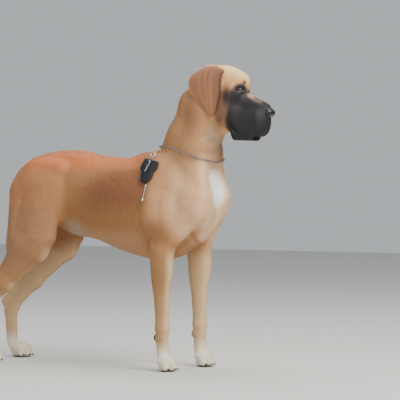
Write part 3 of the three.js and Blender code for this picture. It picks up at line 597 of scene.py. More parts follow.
def meshNormals(mesh):
    normals = np.empty(len(mesh.vertices) * 3, np.float32)
    mesh.vertex_normals.foreach_get("vector", normals)
    return normals.reshape(-1, 3).astype(float)


points, quads = fineNet(
    skinSettings["low"],
    skinSettings["high"],
    skinSettings["cell"],
    bodyDistance,
    -skinSettings["depth"],
    whole=lambda p: np.maximum(blended(bodyMasses, p), -p[:, 2]),
)
skin = meshObject("skin", points, quads)
skinPoints = meshPoints(skin.data)
skinPoints += meshNormals(skin.data) * creaseDepth(skinPoints)[:, None]
skin.data.vertices.foreach_set("co", toWorld(skinPoints).astype(np.float32).ravel())
skin.data.update()
skinNormals = meshNormals(skin.data)
print("skin meshed", len(skin.data.polygons), "faces")

# Colours of the coat as they show in soft daylight, 0 to 255; several hold painted light and shade, as
# marked
coatColours = {
    "fawn": (168, 116, 70),
    # partly painted light: the back's own red-brown, brightened for the light falling on the top
    "back": (196, 108, 52),
    "rump": (172, 114, 72),
    "thigh": (158, 112, 74),
    # painted shade: a darker saddle on the side of the trunk, where shade falls
    "saddle": (128, 78, 44),
    # painted shade: the lower side of the trunk darker, as it lies in shade
    "ribs": (152, 102, 56),
    "belly": (172, 126, 84),
    "groin": (154, 132, 106),
    # painted light: the shoulder, and its front still more, lighter where light falls on them
    "shoulder": (196, 144, 98),
    "shoulderFront": (220, 174, 128),
    "upperArm": (150, 100, 54),
    "neck": (172, 124, 80),
    "neckDark": (152, 106, 66),
    "throat": (152, 128, 98),
    # painted light: the paler chest on faces turned forward, towards the light
    "chest": (214, 176, 136),
    # partly painted highlight: a white breast patch that also stands for highlights on the chest
    "white": (250, 246, 240),
    "leg": (166, 120, 74),
    "legLow": (186, 144, 100),
    # painted light: cream laid on leg faces turned forward and inward, where light falls
    "cream": (222, 192, 148),
    "paw": (232, 222, 196),
    "pad": (52, 44, 42),
    "skull": (206, 152, 98),
    # painted light: the forehead made bright where light falls on it
    "forehead": (232, 196, 140),
    "cheek": (112, 76, 52),
    # painted shadow: the shade that the ear's front edge casts on the cheek
    "cheekDark": (48, 32, 26),
    # painted highlight: lighter tones on the top of the muzzle, where it faces up to the light
    "bridge": (178, 140, 108),
    "bridgeLow": (96, 76, 68),
    "mask": (12, 11, 12),
    "maskSoft": (30, 28, 30),
}


# Colours from 0 to 255, as a screen shows them, as the amounts of light that a material reads
def lightOf(colour):
    c = np.array(colour, float) / 255
    return np.where(c <= 0.04045, c / 12.92, ((c + 0.055) / 1.055) ** 2.4)


coatLight = {name: lightOf(colour) for name, colour in coatColours.items()}


# The coat's layers, each over those before it: a colour, a strength, and limits that narrow it down.
# A limit is a measure that fades in from one value to another, or a zone's centre, radii and edge.
coatLayers = [
    # painted shade: the lower side of the trunk made darker, as it lies in shade
    ("ribs", 1, ("z", 660, 600), ("x", 190, 120)),
    ("rump", 1, ("x", -220, -380), ("z", 540, 640)),
    ("thigh", 1, ("x", -210, -300), ("z", 660, 560)),
    # painted shade: a darker saddle over the side of the trunk, where shade falls
    ("saddle", 0.9, ((56, 120, 692), (150, 110, 84), 0.5)),
    ("saddle", 0.5, ((-90, 120, 650), (90, 90, 50), 0.6)),
    # partly painted light: the red-brown of the back, brightened along the top where light falls
    ("back", 1, ("z", 735, 796), ("x", 130, 70), ("x", -500, -440)),
    ("belly", 0.9, ("z", 560, 480), ("x", -230, -170), ("x", 210, 150)),
    ("groin", 1, ((-200, 70, 500), (50, 90, 60), 0.5)),
    # painted light: the shoulder made lighter where light falls on it
    ("shoulder", 1, ("x", 128, 190), ("z", 500, 580)),
    ("neckDark", 0.55, ("x", 250, 170), ("z", 790, 850)),
    ("upperArm", 0.8, ((190, 130, 500), (64, 60, 70), 0.5)),
    # painted light: the front of the shoulder made lighter still, where the light falls most
    ("shoulderFront", 1, ((300, 110, 640), (64, 60, 130), 0.5)),
    ("neck", 1, ("neckLine", 800, 850), ("x", 120, 160)),
    ("neckDark", 0.8, ((318, 80, 955), (34, 60, 70), 0.6)),
    ("throat", 0.8, ((400, 20, 880), (50, 50, 60), 0.5)),
    # painted light: paler chest and neck front where the skin faces forward, towards the light
    ("chest", 1, ("ahead", 0.25, 0.8), ("x", 270, 320), ("z", 830, 780)),
    # partly painted highlight: the white breast patch, also standing for highlights on the chest
    ("white", 1, ((376, 0, 690), (60, 62, 66), 0.4)),
    ("leg", 1, ("z", 500, 430), ("x", 90, 120)),
    ("leg", 0.7, ("z", 430, 350), ("x", -180, -220)),
    ("legLow", 0.9, ("z", 330, 200)),
    # painted light: the lower legs paler on faces turned forward and inward, where light falls
    ("cream", 0.7, ("ahead", 0.35, 0.95), ("z", 480, 400)),
    ("cream", 0.5, ("inward", 0.1, 0.8), ("z", 480, 400)),
    ("paw", 1, ("z", 120, 62)),
    ("pad", 1, ("up", -0.5, -0.8), ("z", 14, 8)),
    ("pad", 1, ((stance["foreRight"] - 29, 110, 126), (12, 12, 14), 0.2)),
]
headLayers = [
    ("skull", 1),
    # painted light: a bright forehead, where light falls from the front and above
    ("forehead", 1, ((462, 0, 1116), (66, 50, 50), 0.35)),
    ("cheek", 1, ((414, 60, 990), (46, 40, 74), 0.45)),
    # painted shadow: a dark band on the cheek under the ear's front edge
    ("cheekDark", 1, ((446, 56, 1036), (18, 24, 40), 0.5)),
    ("maskSoft", 1, ("maskLine", -12, 8), ("z", 1072, 1044)),
    ("maskSoft", 1, ((489, 38, 1056), (30, 30, 23), 0.25)),
    ("maskSoft", 0.8, ((508, 34, 1082), (9, 14, 8), 0.4)),
    ("mask", 1, ("maskLine", -2, 30), ("z", 1030, 995)),
    # painted highlight: the top of the muzzle lighter on faces turned up, over the black mask
    ("bridge", 1, ("up", 0.35, 0.8), ("side", 30, 17), ("x", 492, 506), ("x", 570, 530), ("z", 1085, 1060)),
    ("bridgeLow", 1, ("up", 0.35, 0.8), ("side", 30, 17), ("x", 520, 548), ("x", 578, 556)),
]


def layAll(layers, mix, p, measures, share):
    for name, strength, *limits in layers:
        amount = strength * share
        for limit in limits:
            isMeasure = limit[0] in measures
            amount = amount * (fade(measures[limit[0]], *limit[1:]) if isMeasure else zone(p, *limit))
        mix(name, amount)


# The coat's colour at points of the body, from their place and the way that the skin faces there; faces
# turned forward, inward or up get painted light, faces turned down get the pads
def coatColour(p, normal):
    x, y, z = p.T
    colour = np.tile(coatLight["fawn"], (len(p), 1))
    mix = mixer(colour, coatLight)
    measures = {"x": x, "z": z, "neckLine": z + 0.35 * (x - 270)}
    measures.update(ahead=normal[:, 0], up=normal[:, 2], inward=-np.sign(y) * normal[:, 1])
    layAll(coatLayers, mix, p, measures, np.ones(len(p)))
    head = turned(p, -1.0)
    x, y, z = head.T
    measures.update(x=x, z=z, side=np.abs(y), maskLine=x - 440 - 0.16 * np.clip(z - 930, 0, 200))
    isHead = fade(headLine(head), 356, 396) * fade(z + 0.8 * np.clip(x - 410, 0, 60), 852, 886)
    layAll(headLayers, mix, head, measures, isHead)
    return colour


def newMaterial(name, values):
    material = bpy.data.materials.new(name)
    material.use_nodes = True
    shader = material.node_tree.nodes["Principled BSDF"]
    for key, value in values.items():
        shader.inputs[key].default_value = value
    return material, shader


# Materials read the colour stored on the points, with a little noise, and a fine bump
def colouredMaterial(name, roughness, noiseScale, bumpScale, bumpHeight, clearCoat, spread):
    material, shader = newMaterial(name, {"Roughness": roughness, "Coat Weight": clearCoat})
    nodes, links = material.node_tree.nodes, material.node_tree.links
    colour = nodes.new("ShaderNodeAttribute")
    colour.attribute_name = "coatColor"
    place = nodes.new("ShaderNodeTexCoord")

    def noise(scale, detail):
        made = nodes.new("ShaderNodeTexNoise")
        made.inputs["Scale"].default_value = scale
        made.inputs["Detail"].default_value = detail
        links.new(place.outputs["Object"], made.inputs["Vector"])
        return made.outputs["Fac"]

    level = nodes.new("ShaderNodeMapRange")
    level.inputs["To Min"].default_value = 1 - spread
    level.inputs["To Max"].default_value = 1 + spread
    tinted = nodes.new("ShaderNodeVectorMath")
    tinted.operation = "SCALE"
    links.new(noise(noiseScale, 4), level.inputs["Value"])
    links.new(colour.outputs["Color"], tinted.inputs[0])
    links.new(level.outputs["Result"], tinted.inputs["Scale"])
    links.new(tinted.outputs["Vector"], shader.inputs["Base Color"])
    bump = nodes.new("ShaderNodeBump")
    bump.inputs["Strength"].default_value = 0.5
    bump.inputs["Distance"].default_value = bumpHeight
    links.new(noise(bumpScale, 3), bump.inputs["Height"])
    links.new(bump.outputs["Normal"], shader.inputs["Normal"])
    return material


def plainMaterial(name, colour, roughness, metallic=0.0):
    values = {"Base Color": (*lightOf(colour), 1), "Roughness": roughness, "Metallic": metallic}
    return newMaterial(name, values)[0]


# Roughness, scale of the tint's noise, scale and height of the bump, clear coat, and spread of the tint
colouredLooks = {
    "fur": (0.66, 40, 520, 0.0008, 0, 0.04),
    "hair": (0.6, 40, 300, 0.0001, 0, 0.04),
    "ear": (0.6, 80, 420, 0.001, 0, 0.1),
    "nose leather": (0.3, 200, 900, 0.0006, 0, 0.1),
    "eye": (0.08, 300, 200, 0.00001, 0.3, 0.04),
}
coloured = {name: colouredMaterial(name, *look) for name, look in colouredLooks.items()}
# Colour, roughness and metallic
plainLooks = {
    "horn": ((54, 46, 42), 0.35, 0.0),
    "steel": ((196, 196, 200), 0.22, 1.0),
    "dark steel": ((158, 144, 148), 0.3, 1.0),
    "pouch": ((14, 18, 28), 0.45, 0.0),
    "whisker": ((30, 26, 26), 0.4, 0.0),
    "floor": ((206, 206, 202), 0.9, 0.0),
}
plain = {name: plainMaterial(name, *look) for name, look in plainLooks.items()}

setColours(skin, coatColour(skinPoints, skinNormals))
skin.data.materials.append(coloured["fur"])
fleshNames = ("head", "neck", "torso", "tail", "front", "hind")
flesh = [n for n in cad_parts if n.split("_")[0] in fleshNames and "claw" not in n]
settle(skin, "coat", *flesh)
print("skin coloured")

# The coat: thin closed blades along the lie of the hair, rooted in the skin
coatSettings = {
    "length": {"trunk": 15, "neck": 13, "leg": 10, "paw": 5, "head": 6.5, "face": 3.6, "tail": 14},
    "width": {"trunk": 1.3, "neck": 1.2, "leg": 1.0, "paw": 0.8, "head": 0.8, "face": 0.6, "tail": 1.3},
    "sunk": 0.4,  # how deep the root is in the skin
    "middle": 0.55,  # where the middle lies, as a share of the length
    "rootWidth": 0.34,  # half the width at the root, as a share of the width
    "thick": 0.12,  # thickness, as a share of the width
    "clear": (0.2, 0.15),  # how far the middle and the tip stay over the skin
    "lift": 0.035,  # how far the tip rises besides, as a share of the length
    "stray": 0.1,  # how far the tufts turn from their lie, in radians
    "patch": 0.003,  # side of each tuft's patch on the unwrap
}
coatPieces = {
    "coatHead": 17000,
    "coatNeck": 16000,
    "coatTrunkRight": 19000,
    "coatTrunkLeft": 19000,
    "coatForelegRight": 11000,
    "coatForelegLeft": 11000,
    "coatHindRight": 12000,
    "coatHindLeft": 12000,
    "coatTail": 2500,
}
dice = np.random.default_rng(7)


def unitRows(v):
    return v / np.maximum(np.linalg.norm(v, axis=1, keepdims=True), 1e-9)


# The way the hair lies: back from the nose, down the neck, back along the trunk and down the legs
hairWays = {
    "trunk": (-1.0, 0.0, -0.28),
    "neck": (-0.55, 0.0, -0.9),
    "leg": (-0.1, 0.0, -1.0),
    "paw": (0.5, 0.0, -0.9),
    "tail": (-0.5, 0.0, -0.9),
}


def lieOfCoat(p):
    x, y, z = p.T
    ways = {name: np.array(way) for name, way in hairWays.items()}
    ways["head"] = unitRows(p - turned(noseTip))
    lie = np.tile(ways["trunk"], (len(p), 1))
    mix = mixer(lie, ways)
    mix("neck", fade(z + 0.6 * (x - 200), 780, 900))
    mix("leg", fade(z, 560, 440))
    mix("paw", fade(z, 90, 50))
    mix("tail", fade(x, -455, -480) * fade(np.abs(y), 45, 30) * fade(z, 200, 240))
    mix("head", fade(headLine(p), 340, 390) * fade(z, 840, 880))
    return lie


# How large the tufts are at each point, as shares of the sizes named for the parts
def tuftSizes(p, kind):
    z = p[:, 2]
    head = turned(p, -1.0)
    isHead = fade(headLine(head), 346, 386) * fade(head[:, 2], 846, 880)
    size = np.full((len(p), 1), float(coatSettings[kind]["trunk"]))
    mix = mixer(size, coatSettings[kind])
    mix("neck", fade(z, 780, 850))
    mix("leg", fade(z, 520, 400))
    mix("paw", fade(z, 110, 60))
    mix("head", isHead)
    mix("face", isHead * fade(head[:, 0], 430, 470))
    return size[:, 0]


# The part of the body that each point belongs to
def partOf(p):
    x, y, z = p.T
    side = np.where(y < 0, 0, 1)
    names = np.array(list(coatPieces))
    number = np.where(side == 0, 2, 3)
    number = np.where((z < 404) & (x > 80), 4 + side, number)
    number = np.where((z < 486) & (x < -212), 6 + side, number)
    number = np.where((x < -474) & (np.abs(y) < 30) & (z < 730), 8, number)
    number = np.where((x - 150) * 0.525 + (z - 838) * 0.85 > 0, 1, number)
    number = np.where((headLine(p) > 356) & (z > 860), 0, number)
    return names[number]


# Where each root lies on an unwrap of its part: its share of the way along the part's axis, and its angle
unwrapAxes = {
    "coatHead": ((610, 0, 960), (330, 0, 1050)),
    "coatNeck": ((372, 0, 1062), (240, 0, 758)),
    "coatTrunkRight": ((400, 0, 640), (-480, 0, 660)),
    "coatTrunkLeft": ((400, 0, 640), (-480, 0, 660)),
    "coatForelegRight": ((209, -110, 404), (215, -110, 0)),
    "coatForelegLeft": ((255, 110, 404), (261, 110, 0)),
    "coatHindRight": ((-400, -110, 486), (-590, -110, 0)),
    "coatHindLeft": ((-400, 110, 486), (-590, 110, 0)),
    "coatTail": ((-474, 0, 760), (-560, 0, 240)),
}


def unwrapped(p, name):
    a, b = (np.array(end, float) for end in unwrapAxes[name])
    along = (b - a) / np.linalg.norm(b - a)
    beside = np.cross(along, (0, 1, 0))
    beside /= np.linalg.norm(beside)
    r = p - a
    station = (r @ along) / np.linalg.norm(b - a)
    angle = np.arctan2(r[:, 1], r @ beside) / (2 * math.pi) + 0.5
    return np.stack([0.06 + 0.88 * np.clip((station + 0.3) / 1.6, 0, 1), 0.04 + 0.92 * angle], 1)


# How high points stand over the finished skin, in millimetres
def overSkin(p):
    return bodyDistance(p) + skinSettings["depth"] - creaseDepth(p)


# One piece of coat from its roots, with their normals, ways, lengths and widths
def tuftPiece(name, roots, normals, ways, lengths, widths, colours):
    n = len(roots)
    side = unitRows(np.cross(normals, ways))
    ways = unitRows(np.cross(side, normals))
    spin = dice.normal(0, coatSettings["stray"], n)[:, None]
    ways, side = ways * np.cos(spin) + side * np.sin(spin), side * np.cos(spin) - ways * np.sin(spin)
    lengths, widths = lengths[:, None], widths[:, None]
    rise = coatSettings["lift"] * lengths * dice.uniform(0.5, 1.5, n)[:, None]
    thick = coatSettings["thick"] * widths * normals
    atRoot, atMiddle = coatSettings["rootWidth"] * widths * side, 0.5 * widths * side
    overMiddle, overTip = coatSettings["clear"]
    root = roots - coatSettings["sunk"] * normals
    middle = root + coatSettings["middle"] * lengths * ways
    tip = root + lengths * ways
    middle += (overMiddle + 0.5 * rise - overSkin(middle)[:, None]) * normals
    tip += (overTip + rise - overSkin(tip)[:, None]) * normals
    low = [root - atRoot, root + atRoot, root + thick]
    high = [middle - atMiddle, middle + atMiddle, middle + thick, tip]
    points = np.stack(low + high, 1).reshape(-1, 3)
    first = (np.arange(n) * 7)[:, None, None]
    triangles = (np.array([[0, 2, 1], [3, 4, 6], [4, 5, 6], [5, 3, 6]])[None] + first).reshape(-1, 3)
    quads = (np.array([[0, 1, 4, 3], [1, 2, 5, 4], [2, 0, 3, 5]])[None] + first).reshape(-1, 4)
    made = meshObject(name, points, [triangles, quads], coloured["hair"], smooth=False)
    shade = dice.uniform(0.96, 1.05, n)[:, None]
    setColours(made, np.repeat(colours * shade, 7, axis=0))
    corner = np.array([[0, 0], [1, 0], [0.5, 0.15], [0, 0.55], [1, 0.55], [0.5, 0.7], [0.5, 1]]) - 0.5
    places = (unwrapped(roots, name)[:, None, :] + coatSettings["patch"] * corner[None]).reshape(-1, 2)
    loops = np.concatenate([triangles.ravel(), quads.ravel()])
    layer = made.data.uv_layers.new(name="OFBake")
    layer.data.foreach_set("uv", places[loops].astype(np.float32).ravel())
    settle(made, "coat")


# Roots spread over triangles in proportion to their area and weight
def scattered(corners, cornerNormals, weights, count):
    area = np.linalg.norm(np.cross(corners[:, 1] - corners[:, 0], corners[:, 2] - corners[:, 0]), axis=1)
    chance = area * weights
    picked = dice.choice(len(corners), count, p=chance / chance.sum())
    a, b = np.sqrt(dice.random(count)), dice.random(count)
    shares = np.stack([1 - a, a * (1 - b), a * b], 1)[:, :, None]
    return (corners[picked] * shares).sum(1), unitRows((cornerNormals[picked] * shares).sum(1))


skin.data.calc_loop_triangles()
triangleIds = np.empty(len(skin.data.loop_triangles) * 3, np.int32)
skin.data.loop_triangles.foreach_get("vertices", triangleIds)
triangleIds = triangleIds.reshape(-1, 3)
corners, cornerNormals = skinPoints[triangleIds], skinNormals[triangleIds]
centres = corners.mean(1)
partNames = partOf(centres)
onGround = fade(centres[:, 2], 3, 12)
headCentres = turned(centres, -1.0)
clearOfEyes = 1 - zone(headCentres, (494, 46, 1054), (17, 17, 13), 0.1)
clearOfNose = 1 - zone(headCentres, (590, 0, 970), (30, 34, 26), 0.1)
smaller = 1 / (tuftSizes(centres, "length") * tuftSizes(centres, "width"))
for name, count in coatPieces.items():
    weights = (partNames == name) * onGround * clearOfEyes * clearOfNose * smaller
    roots, normals = scattered(corners, cornerNormals, weights, count)
    lengths = tuftSizes(roots, "length") * dice.uniform(0.75, 1.2, count)
    widths = tuftSizes(roots, "width") * dice.uniform(0.8, 1.2, count)
    tuftPiece(name, roots, normals, lieOfCoat(roots), lengths, widths, coatColour(roots, normals))
print("coat made", sum(coatPieces.values()), "tufts")


# Points on a smooth line through given points, spaced by its stretches
def smoothLine(given, count):
    p = np.array(given, float)
    p = np.concatenate([[2 * p[0] - p[1]], p, [2 * p[-1] - p[-2]]])
    t = np.linspace(0, len(given) - 1, count)
    i = np.minimum(t.astype(int), len(given) - 2)
    s = (t - i).reshape((-1,) + (1,) * (p.ndim - 1))
    a, b, c, d = p[i], p[i + 1], p[i + 2], p[i + 3]
    return 0.5 * (2 * b + (c - a) * s + (2 * a - 5 * b + 4 * c - d) * s**2 + (3 * b - a - 3 * c + d) * s**3)


# Quads between rings of points, in order along the first ring, with the last ring joined to the first or not
def ringQuads(rings, sides, joined=False):
    here = np.arange(rings if joined else rings - 1)[:, None] * sides
    beyond = (here + sides) % (rings * sides)
    spot = np.arange(sides)[None]
    after = (spot + 1) % sides
    return np.stack([here + spot, here + after, beyond + after, beyond + spot], -1).reshape(-1, 4)


# A tube along a line, with a radius at each point, closed by end caps or joined to itself
def tubeMesh(line, radii, sides=10, joined=False):
    line, radii = np.array(line, float), np.asarray(radii, float)
    n = len(line)
    ahead = np.roll(line, -1, 0) - np.roll(line, 1, 0) if joined else np.gradient(line, axis=0)
    ahead = unitRows(ahead)
    side = np.empty_like(line)
    start = (0, 0, 1) if abs(ahead[0][2]) < 0.9 else (0, 1, 0)
    side[0] = np.cross(ahead[0], start)
    for i in range(1, n):
        side[i] = side[i - 1] - ahead[i] * (side[i - 1] @ ahead[i])
    side = unitRows(side)
    other = np.cross(ahead, side)
    turn = np.arange(sides) * 2 * math.pi / sides
    ring = side[:, None] * np.cos(turn)[None, :, None] + other[:, None] * np.sin(turn)[None, :, None]
    points = (line[:, None] + ring * radii[:, None, None]).reshape(-1, 3)
    faces = [ringQuads(n, sides, joined)]
    if not joined:
        faces.append(np.arange(sides)[::-1][None])
        faces.append(((n - 1) * sides + np.arange(sides))[None])
    return points, faces


# Several meshes as one: their points in a row, and their faces grouped by size
def joinedMeshes(meshes):
    bySize = {}
    first = 0
    for points, faces in meshes:
        for group in faces if isinstance(faces, list) else [faces]:
            bySize.setdefault(group.shape[1], []).append(group + first)
        first += len(points)
    return np.concatenate([m[0] for m in meshes]), [np.concatenate(groups) for groups in bySize.values()]


# Ears: folded leather sheets, rounded at their edges, with soft folds
earRows = [
    ((424, 42, 1098), (382, 48, 1108), (344, 44, 1076)),
    ((433, 56, 1120), (386, 62, 1133), (326, 56, 1101)),
    ((437, 71, 1127), (383, 79, 1141), (308, 70, 1111)),
    ((431, 79, 1094), (369, 92, 1099), (298, 78, 1076)),
    ((427, 79, 1044), (374, 91, 1041), (315, 79, 1032)),
    ((414, 76, 998), (383, 85, 996), (343, 78, 994)),
    ((399, 73, 963), (391, 76, 958), (382, 74, 963)),
]
earSettings = {"along": 72, "across": 30, "thickness": 5.0}
earColours = {
    "main": (156, 104, 70),
    "front": (112, 70, 46),
    "shadow": (58, 28, 22),
    "rim": (208, 150, 100),
    # painted shade in the ear's folds
    "fold": (104, 68, 56),
    "top": (172, 116, 74),
    "inner": (160, 108, 84),
}
earLight = {name: lightOf(colour) for name, colour in earColours.items()}


def earSheet(side):
    n, m = earSettings["along"], earSettings["across"]
    lines = [smoothLine([row[k] for row in earRows], n) for k in range(3)]
    rows = np.stack([smoothLine(stretch, m) for stretch in zip(*lines)])
    along = np.linspace(0, 1, n)[:, None]
    across = np.linspace(0, 1, m)[None]
    normal = np.cross(np.gradient(rows, axis=1), np.gradient(rows, axis=0))
    normal = normal / np.maximum(np.linalg.norm(normal, axis=2, keepdims=True), 1e-9)
    if normal[n * 5 // 8, m // 2, 1] < 0:
        normal = -normal  # away from the head where the ear hangs
    folds = 2.2 * np.exp(-(((across - 0.30 - 0.1 * along) / 0.07) ** 2)) * fade(along, 0.15, 0.5)
    groove = np.exp(-(((across - 0.46) / 0.06) ** 2)) * fade(along, 0.1, 0.35) * fade(along, 0.9, 0.6)
    folds = folds - 1.8 * groove
    folds = folds + 1.4 * np.exp(-(((across - 0.72) / 0.08) ** 2)) * fade(along, 0.2, 0.5)
    rows = rows + normal * (folds * 0.9)[:, :, None]
    edge = np.minimum(np.minimum(across, 1 - across) * 16, (1 - along) * 22 + 0 * across)
    half = 0.5 * earSettings["thickness"] * np.sqrt(np.clip(edge, 0.0, 1)) + 0.15
    outer, inner = rows + normal * half[:, :, None], rows - normal * half[:, :, None]
    ids = np.arange(n * m).reshape(n, m)
    face = np.stack([ids[:-1, :-1], ids[:-1, 1:], ids[1:, 1:], ids[1:, :-1]], -1).reshape(-1, 4)
    rim = np.concatenate([ids[0, :], ids[1:, -1], ids[-1, -2::-1], ids[-2:0:-1, 0]])
    after = np.roll(rim, -1)
    back = n * m
    border = np.stack([rim, rim + back, after + back, after], 1)
    points = np.concatenate([outer.reshape(-1, 3), inner.reshape(-1, 3)])
    faces = np.concatenate([face, face[:, ::-1] + back, border])
    if side < 0:
        points[:, 1] *= -1
        faces = faces[:, ::-1]
    a, c = np.broadcast_to(along, (n, m)).ravel(), np.broadcast_to(across, (n, m)).ravel()
    colour = np.tile(earLight["main"], (n * m, 1))
    mix = mixer(colour, earLight)
    mix("top", fade(a, 0.42, 0.2))
    mix("front", 0.8 * fade(c, 0.42, 0.22) * fade(a, 0.2, 0.4))
    mix("shadow", 0.85 * fade(c, 0.10, 0.03) * fade(a, 0.3, 0.45) * fade(a, 0.95, 0.85))
    # painted shade: dark streaks along the ear's folds
    mix("fold", 0.5 * np.exp(-(((c - 0.55) / 0.05) ** 2)) * fade(a, 0.35, 0.5) * fade(a, 0.85, 0.65))
    mix("fold", 0.6 * np.exp(-(((c - 0.40) / 0.05) ** 2) - ((a - 0.45) / 0.1) ** 2))
    mix("rim", 0.8 * fade(c, 0.93, 0.985) * fade(a, 0.25, 0.4))
    return turned(points), faces, np.concatenate([colour, np.tile(earLight["inner"], (n * m, 1))])


for side, name in ((1, "left"), (-1, "right")):
    earPoints, earFaces, colours = earSheet(side)
    ear = meshObject("earSkin" + name.capitalize(), earPoints, earFaces, coloured["ear"])
    setColours(ear, colours)
    settle(ear, "ear", "ear_" + name)
print("ears made")

# Nose leather, closed, with its nostrils
noseSettings = {"cell": 1.1, "colour": (24, 24, 28), "low": (-56, -45, -50), "high": (12, 70, 12)}


def noseDistance(points):
    x, _, z = noseTip
    h = turned(points, -1.0)
    leather = [
        lump((x - 24, 0, z - 20), (24, 25, 21), 10),
        *lumps((x - 20, 16, z - 23), (20, 12, 16), 8),
    ]
    openings = limbs((x - 4, 11, z - 22), (x - 10, 18, z - 20), (6, 6), (5, 5), 3)
    openings += limbs((x - 10, 19, z - 21), (x - 26, 27, z - 28), (3.2, 3.2), (2.4, 2.4), 3)
    furrow = [limb((x + 1, 0, z - 18), (x - 4, 0, z - 42), (3, 1.2), (4, 1.4), 2)]
    return -softer(-blended(leather, h), blended(openings + furrow, h), 1.5)


noseBox = [np.array(noseTip) + noseSettings[end] for end in ("low", "high")]
nosePoints, noseQuads = fineNet(*noseBox, noseSettings["cell"], noseDistance, -0.2)
nose = meshObject("noseLeather", nosePoints, noseQuads, coloured["nose leather"])
setColours(nose, np.tile(lightOf(noseSettings["colour"]), (len(nosePoints), 1)))
settle(nose, "nose", "nose")

# Eyes with a bulging clear front, an iris and a pupil, and the rims of the lids about them
eyeSettings = {"pupil": 0.36, "iris": 0.78, "inset": 0.35, "bulge": 0.9, "rings": 48, "sectors": 64}
lidSettings = {"width": 11.3, "height": 7.4, "lean": 1, "radius": 1.7, "lift": 0.5, "steps": 56, "sides": 10}
eyeColours = {
    "pupil": (4, 4, 5),
    "iris": (72, 44, 24),
    "irisEdge": (22, 14, 10),
    "white": (84, 70, 64),
    "lid": (28, 24, 26),
    # partly painted reflection: the lower lid's pinkish grey, lightened for the shine of its wet rim
    "lidLow": (104, 88, 96),
}
eyeLight = {name: lightOf(colour) for name, colour in eyeColours.items()}
upward = np.array((0, 0, 1))


# An eye's centre, the way it looks, and the way to its side
def eyePlace(side):
    centre = turned((eyeBall["x"], side * eyeBall["y"], eyeBall["z"]))
    pivot = (headPivot[0], 0, 0)
    aim = turned(np.array(eyeBall["aim"]) * (1, side, 1) + pivot) - turned(pivot)
    return centre, aim, np.cross(upward, aim)


def eyeMesh(side):
    rings, sectors = eyeSettings["rings"], eyeSettings["sectors"]
    centre, aim, beside = eyePlace(side)
    tilt = np.linspace(0, math.pi, rings + 1)[1:-1]
    turn = np.arange(sectors) * 2 * math.pi / sectors
    circle = np.cos(turn)[None, :, None] * beside + np.sin(turn)[None, :, None] * upward
    ring = np.cos(tilt)[:, None, None] * aim + np.sin(tilt)[:, None, None] * circle
    radius = eyeBall["radius"] - eyeSettings["inset"] + eyeSettings["bulge"] * fade(tilt, 0.85, 0.0)
    points = (centre + ring * radius[:, None, None]).reshape(-1, 3)
    points = np.concatenate([points, [centre + aim * radius[0]], [centre - aim * radius[-1]]])
    quads = ringQuads(rings - 1, sectors)[:, [0, 3, 2, 1]]
    top, bottom = len(points) - 2, len(points) - 1
    spot = np.arange(sectors)
    after = (spot + 1) % sectors
    last = (rings - 2) * sectors
    topCap = np.stack([np.full(sectors, top), spot, after], 1)
    bottomCap = np.stack([np.full(sectors, bottom), last + after, last + spot], 1)
    angle = np.concatenate([np.repeat(tilt, sectors), [0, math.pi]])
    colour = np.tile(eyeLight["white"], (len(points), 1))
    mix = mixer(colour, eyeLight)
    pupil, iris = eyeSettings["pupil"], eyeSettings["iris"]
    mix("irisEdge", fade(angle, iris + 0.1, iris))
    mix("iris", fade(angle, iris - 0.04, iris - 0.2))
    mix("pupil", fade(angle, pupil + 0.05, pupil))
    return points, [quads, np.concatenate([topCap, bottomCap])], colour


def lidRim(side):
    centre, aim, beside = eyePlace(side)
    turn = np.arange(lidSettings["steps"]) * 2 * math.pi / lidSettings["steps"]
    reach = eyeBall["radius"] + lidSettings["lift"]
    u = lidSettings["width"] / reach * np.cos(turn) * side
    v = (lidSettings["height"] * np.sin(turn) - lidSettings["lean"] * np.cos(turn)) / reach
    out = np.sqrt(np.clip(1 - u**2 - v**2, 0.05, 1))
    line = centre + reach * (out[:, None] * aim + u[:, None] * beside + v[:, None] * upward)
    radii = lidSettings["radius"] * (1 + 0.25 * np.clip(-np.sin(turn), 0, 1))
    colour = np.tile(eyeLight["lid"], (len(turn), 1))
    # partly painted reflection: the lower rim lighter, for its pink and the shine of its wet edge
    mixer(colour, eyeLight)("lidLow", fade(-np.sin(turn), 0.2, 0.8))
    tube = tubeMesh(line, radii, lidSettings["sides"], joined=True)
    return *tube, np.repeat(colour, lidSettings["sides"], axis=0)


for side, name in ((1, "left"), (-1, "right")):
    eyePoints, eyeFaces, colours = eyeMesh(side)
    eye = meshObject("eyeBall" + name.capitalize(), eyePoints, eyeFaces, coloured["eye"])
    setColours(eye, colours)
    settle(eye, "eye", "eye_" + name)
    rimPoints, rimFaces, colours = lidRim(side)
    rim = meshObject("lids" + name.capitalize(), rimPoints, rimFaces, coloured["nose leather"])
    setColours(rim, colours)
    settle(rim, "coat")
print("nose and eyes made")


# Claws: short dark curved cones, four on each paw
def clawMesh(tip, out):
    t = np.linspace(0, 1, 9)[:, None]
    line = np.array(tip) + np.concatenate([-8 + 19 * t, out * 1.2 * t, -1 - 7 * t**2], 1)
    radii = np.interp(t[:, 0], (0, 0.4, 0.75, 1), (4.4, 4.3, 3.0, 1.1))
    return tubeMesh(line, radii, 12)


claws = []
for end, reach, ahead in (("fore", 58, 0), ("hind", 78, 14)):
    for out, name in ((1, "Left"), (-1, "Right")):
        for t in (-1.5, -0.5, 0.5, 1.5):
            x = stance[end + name] + ahead + reach + (0 if abs(t) < 1 else -17) - 5
            y = out * stance[end + "Side"] + out * t * 19.5
            claws.append(clawMesh((x, y, 15.5), out * math.copysign(1, t)))
clawObject = meshObject("claws", *joinedMeshes(claws), plain["horn"])
settle(clawObject, "claw", *[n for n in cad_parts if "claw" in n])

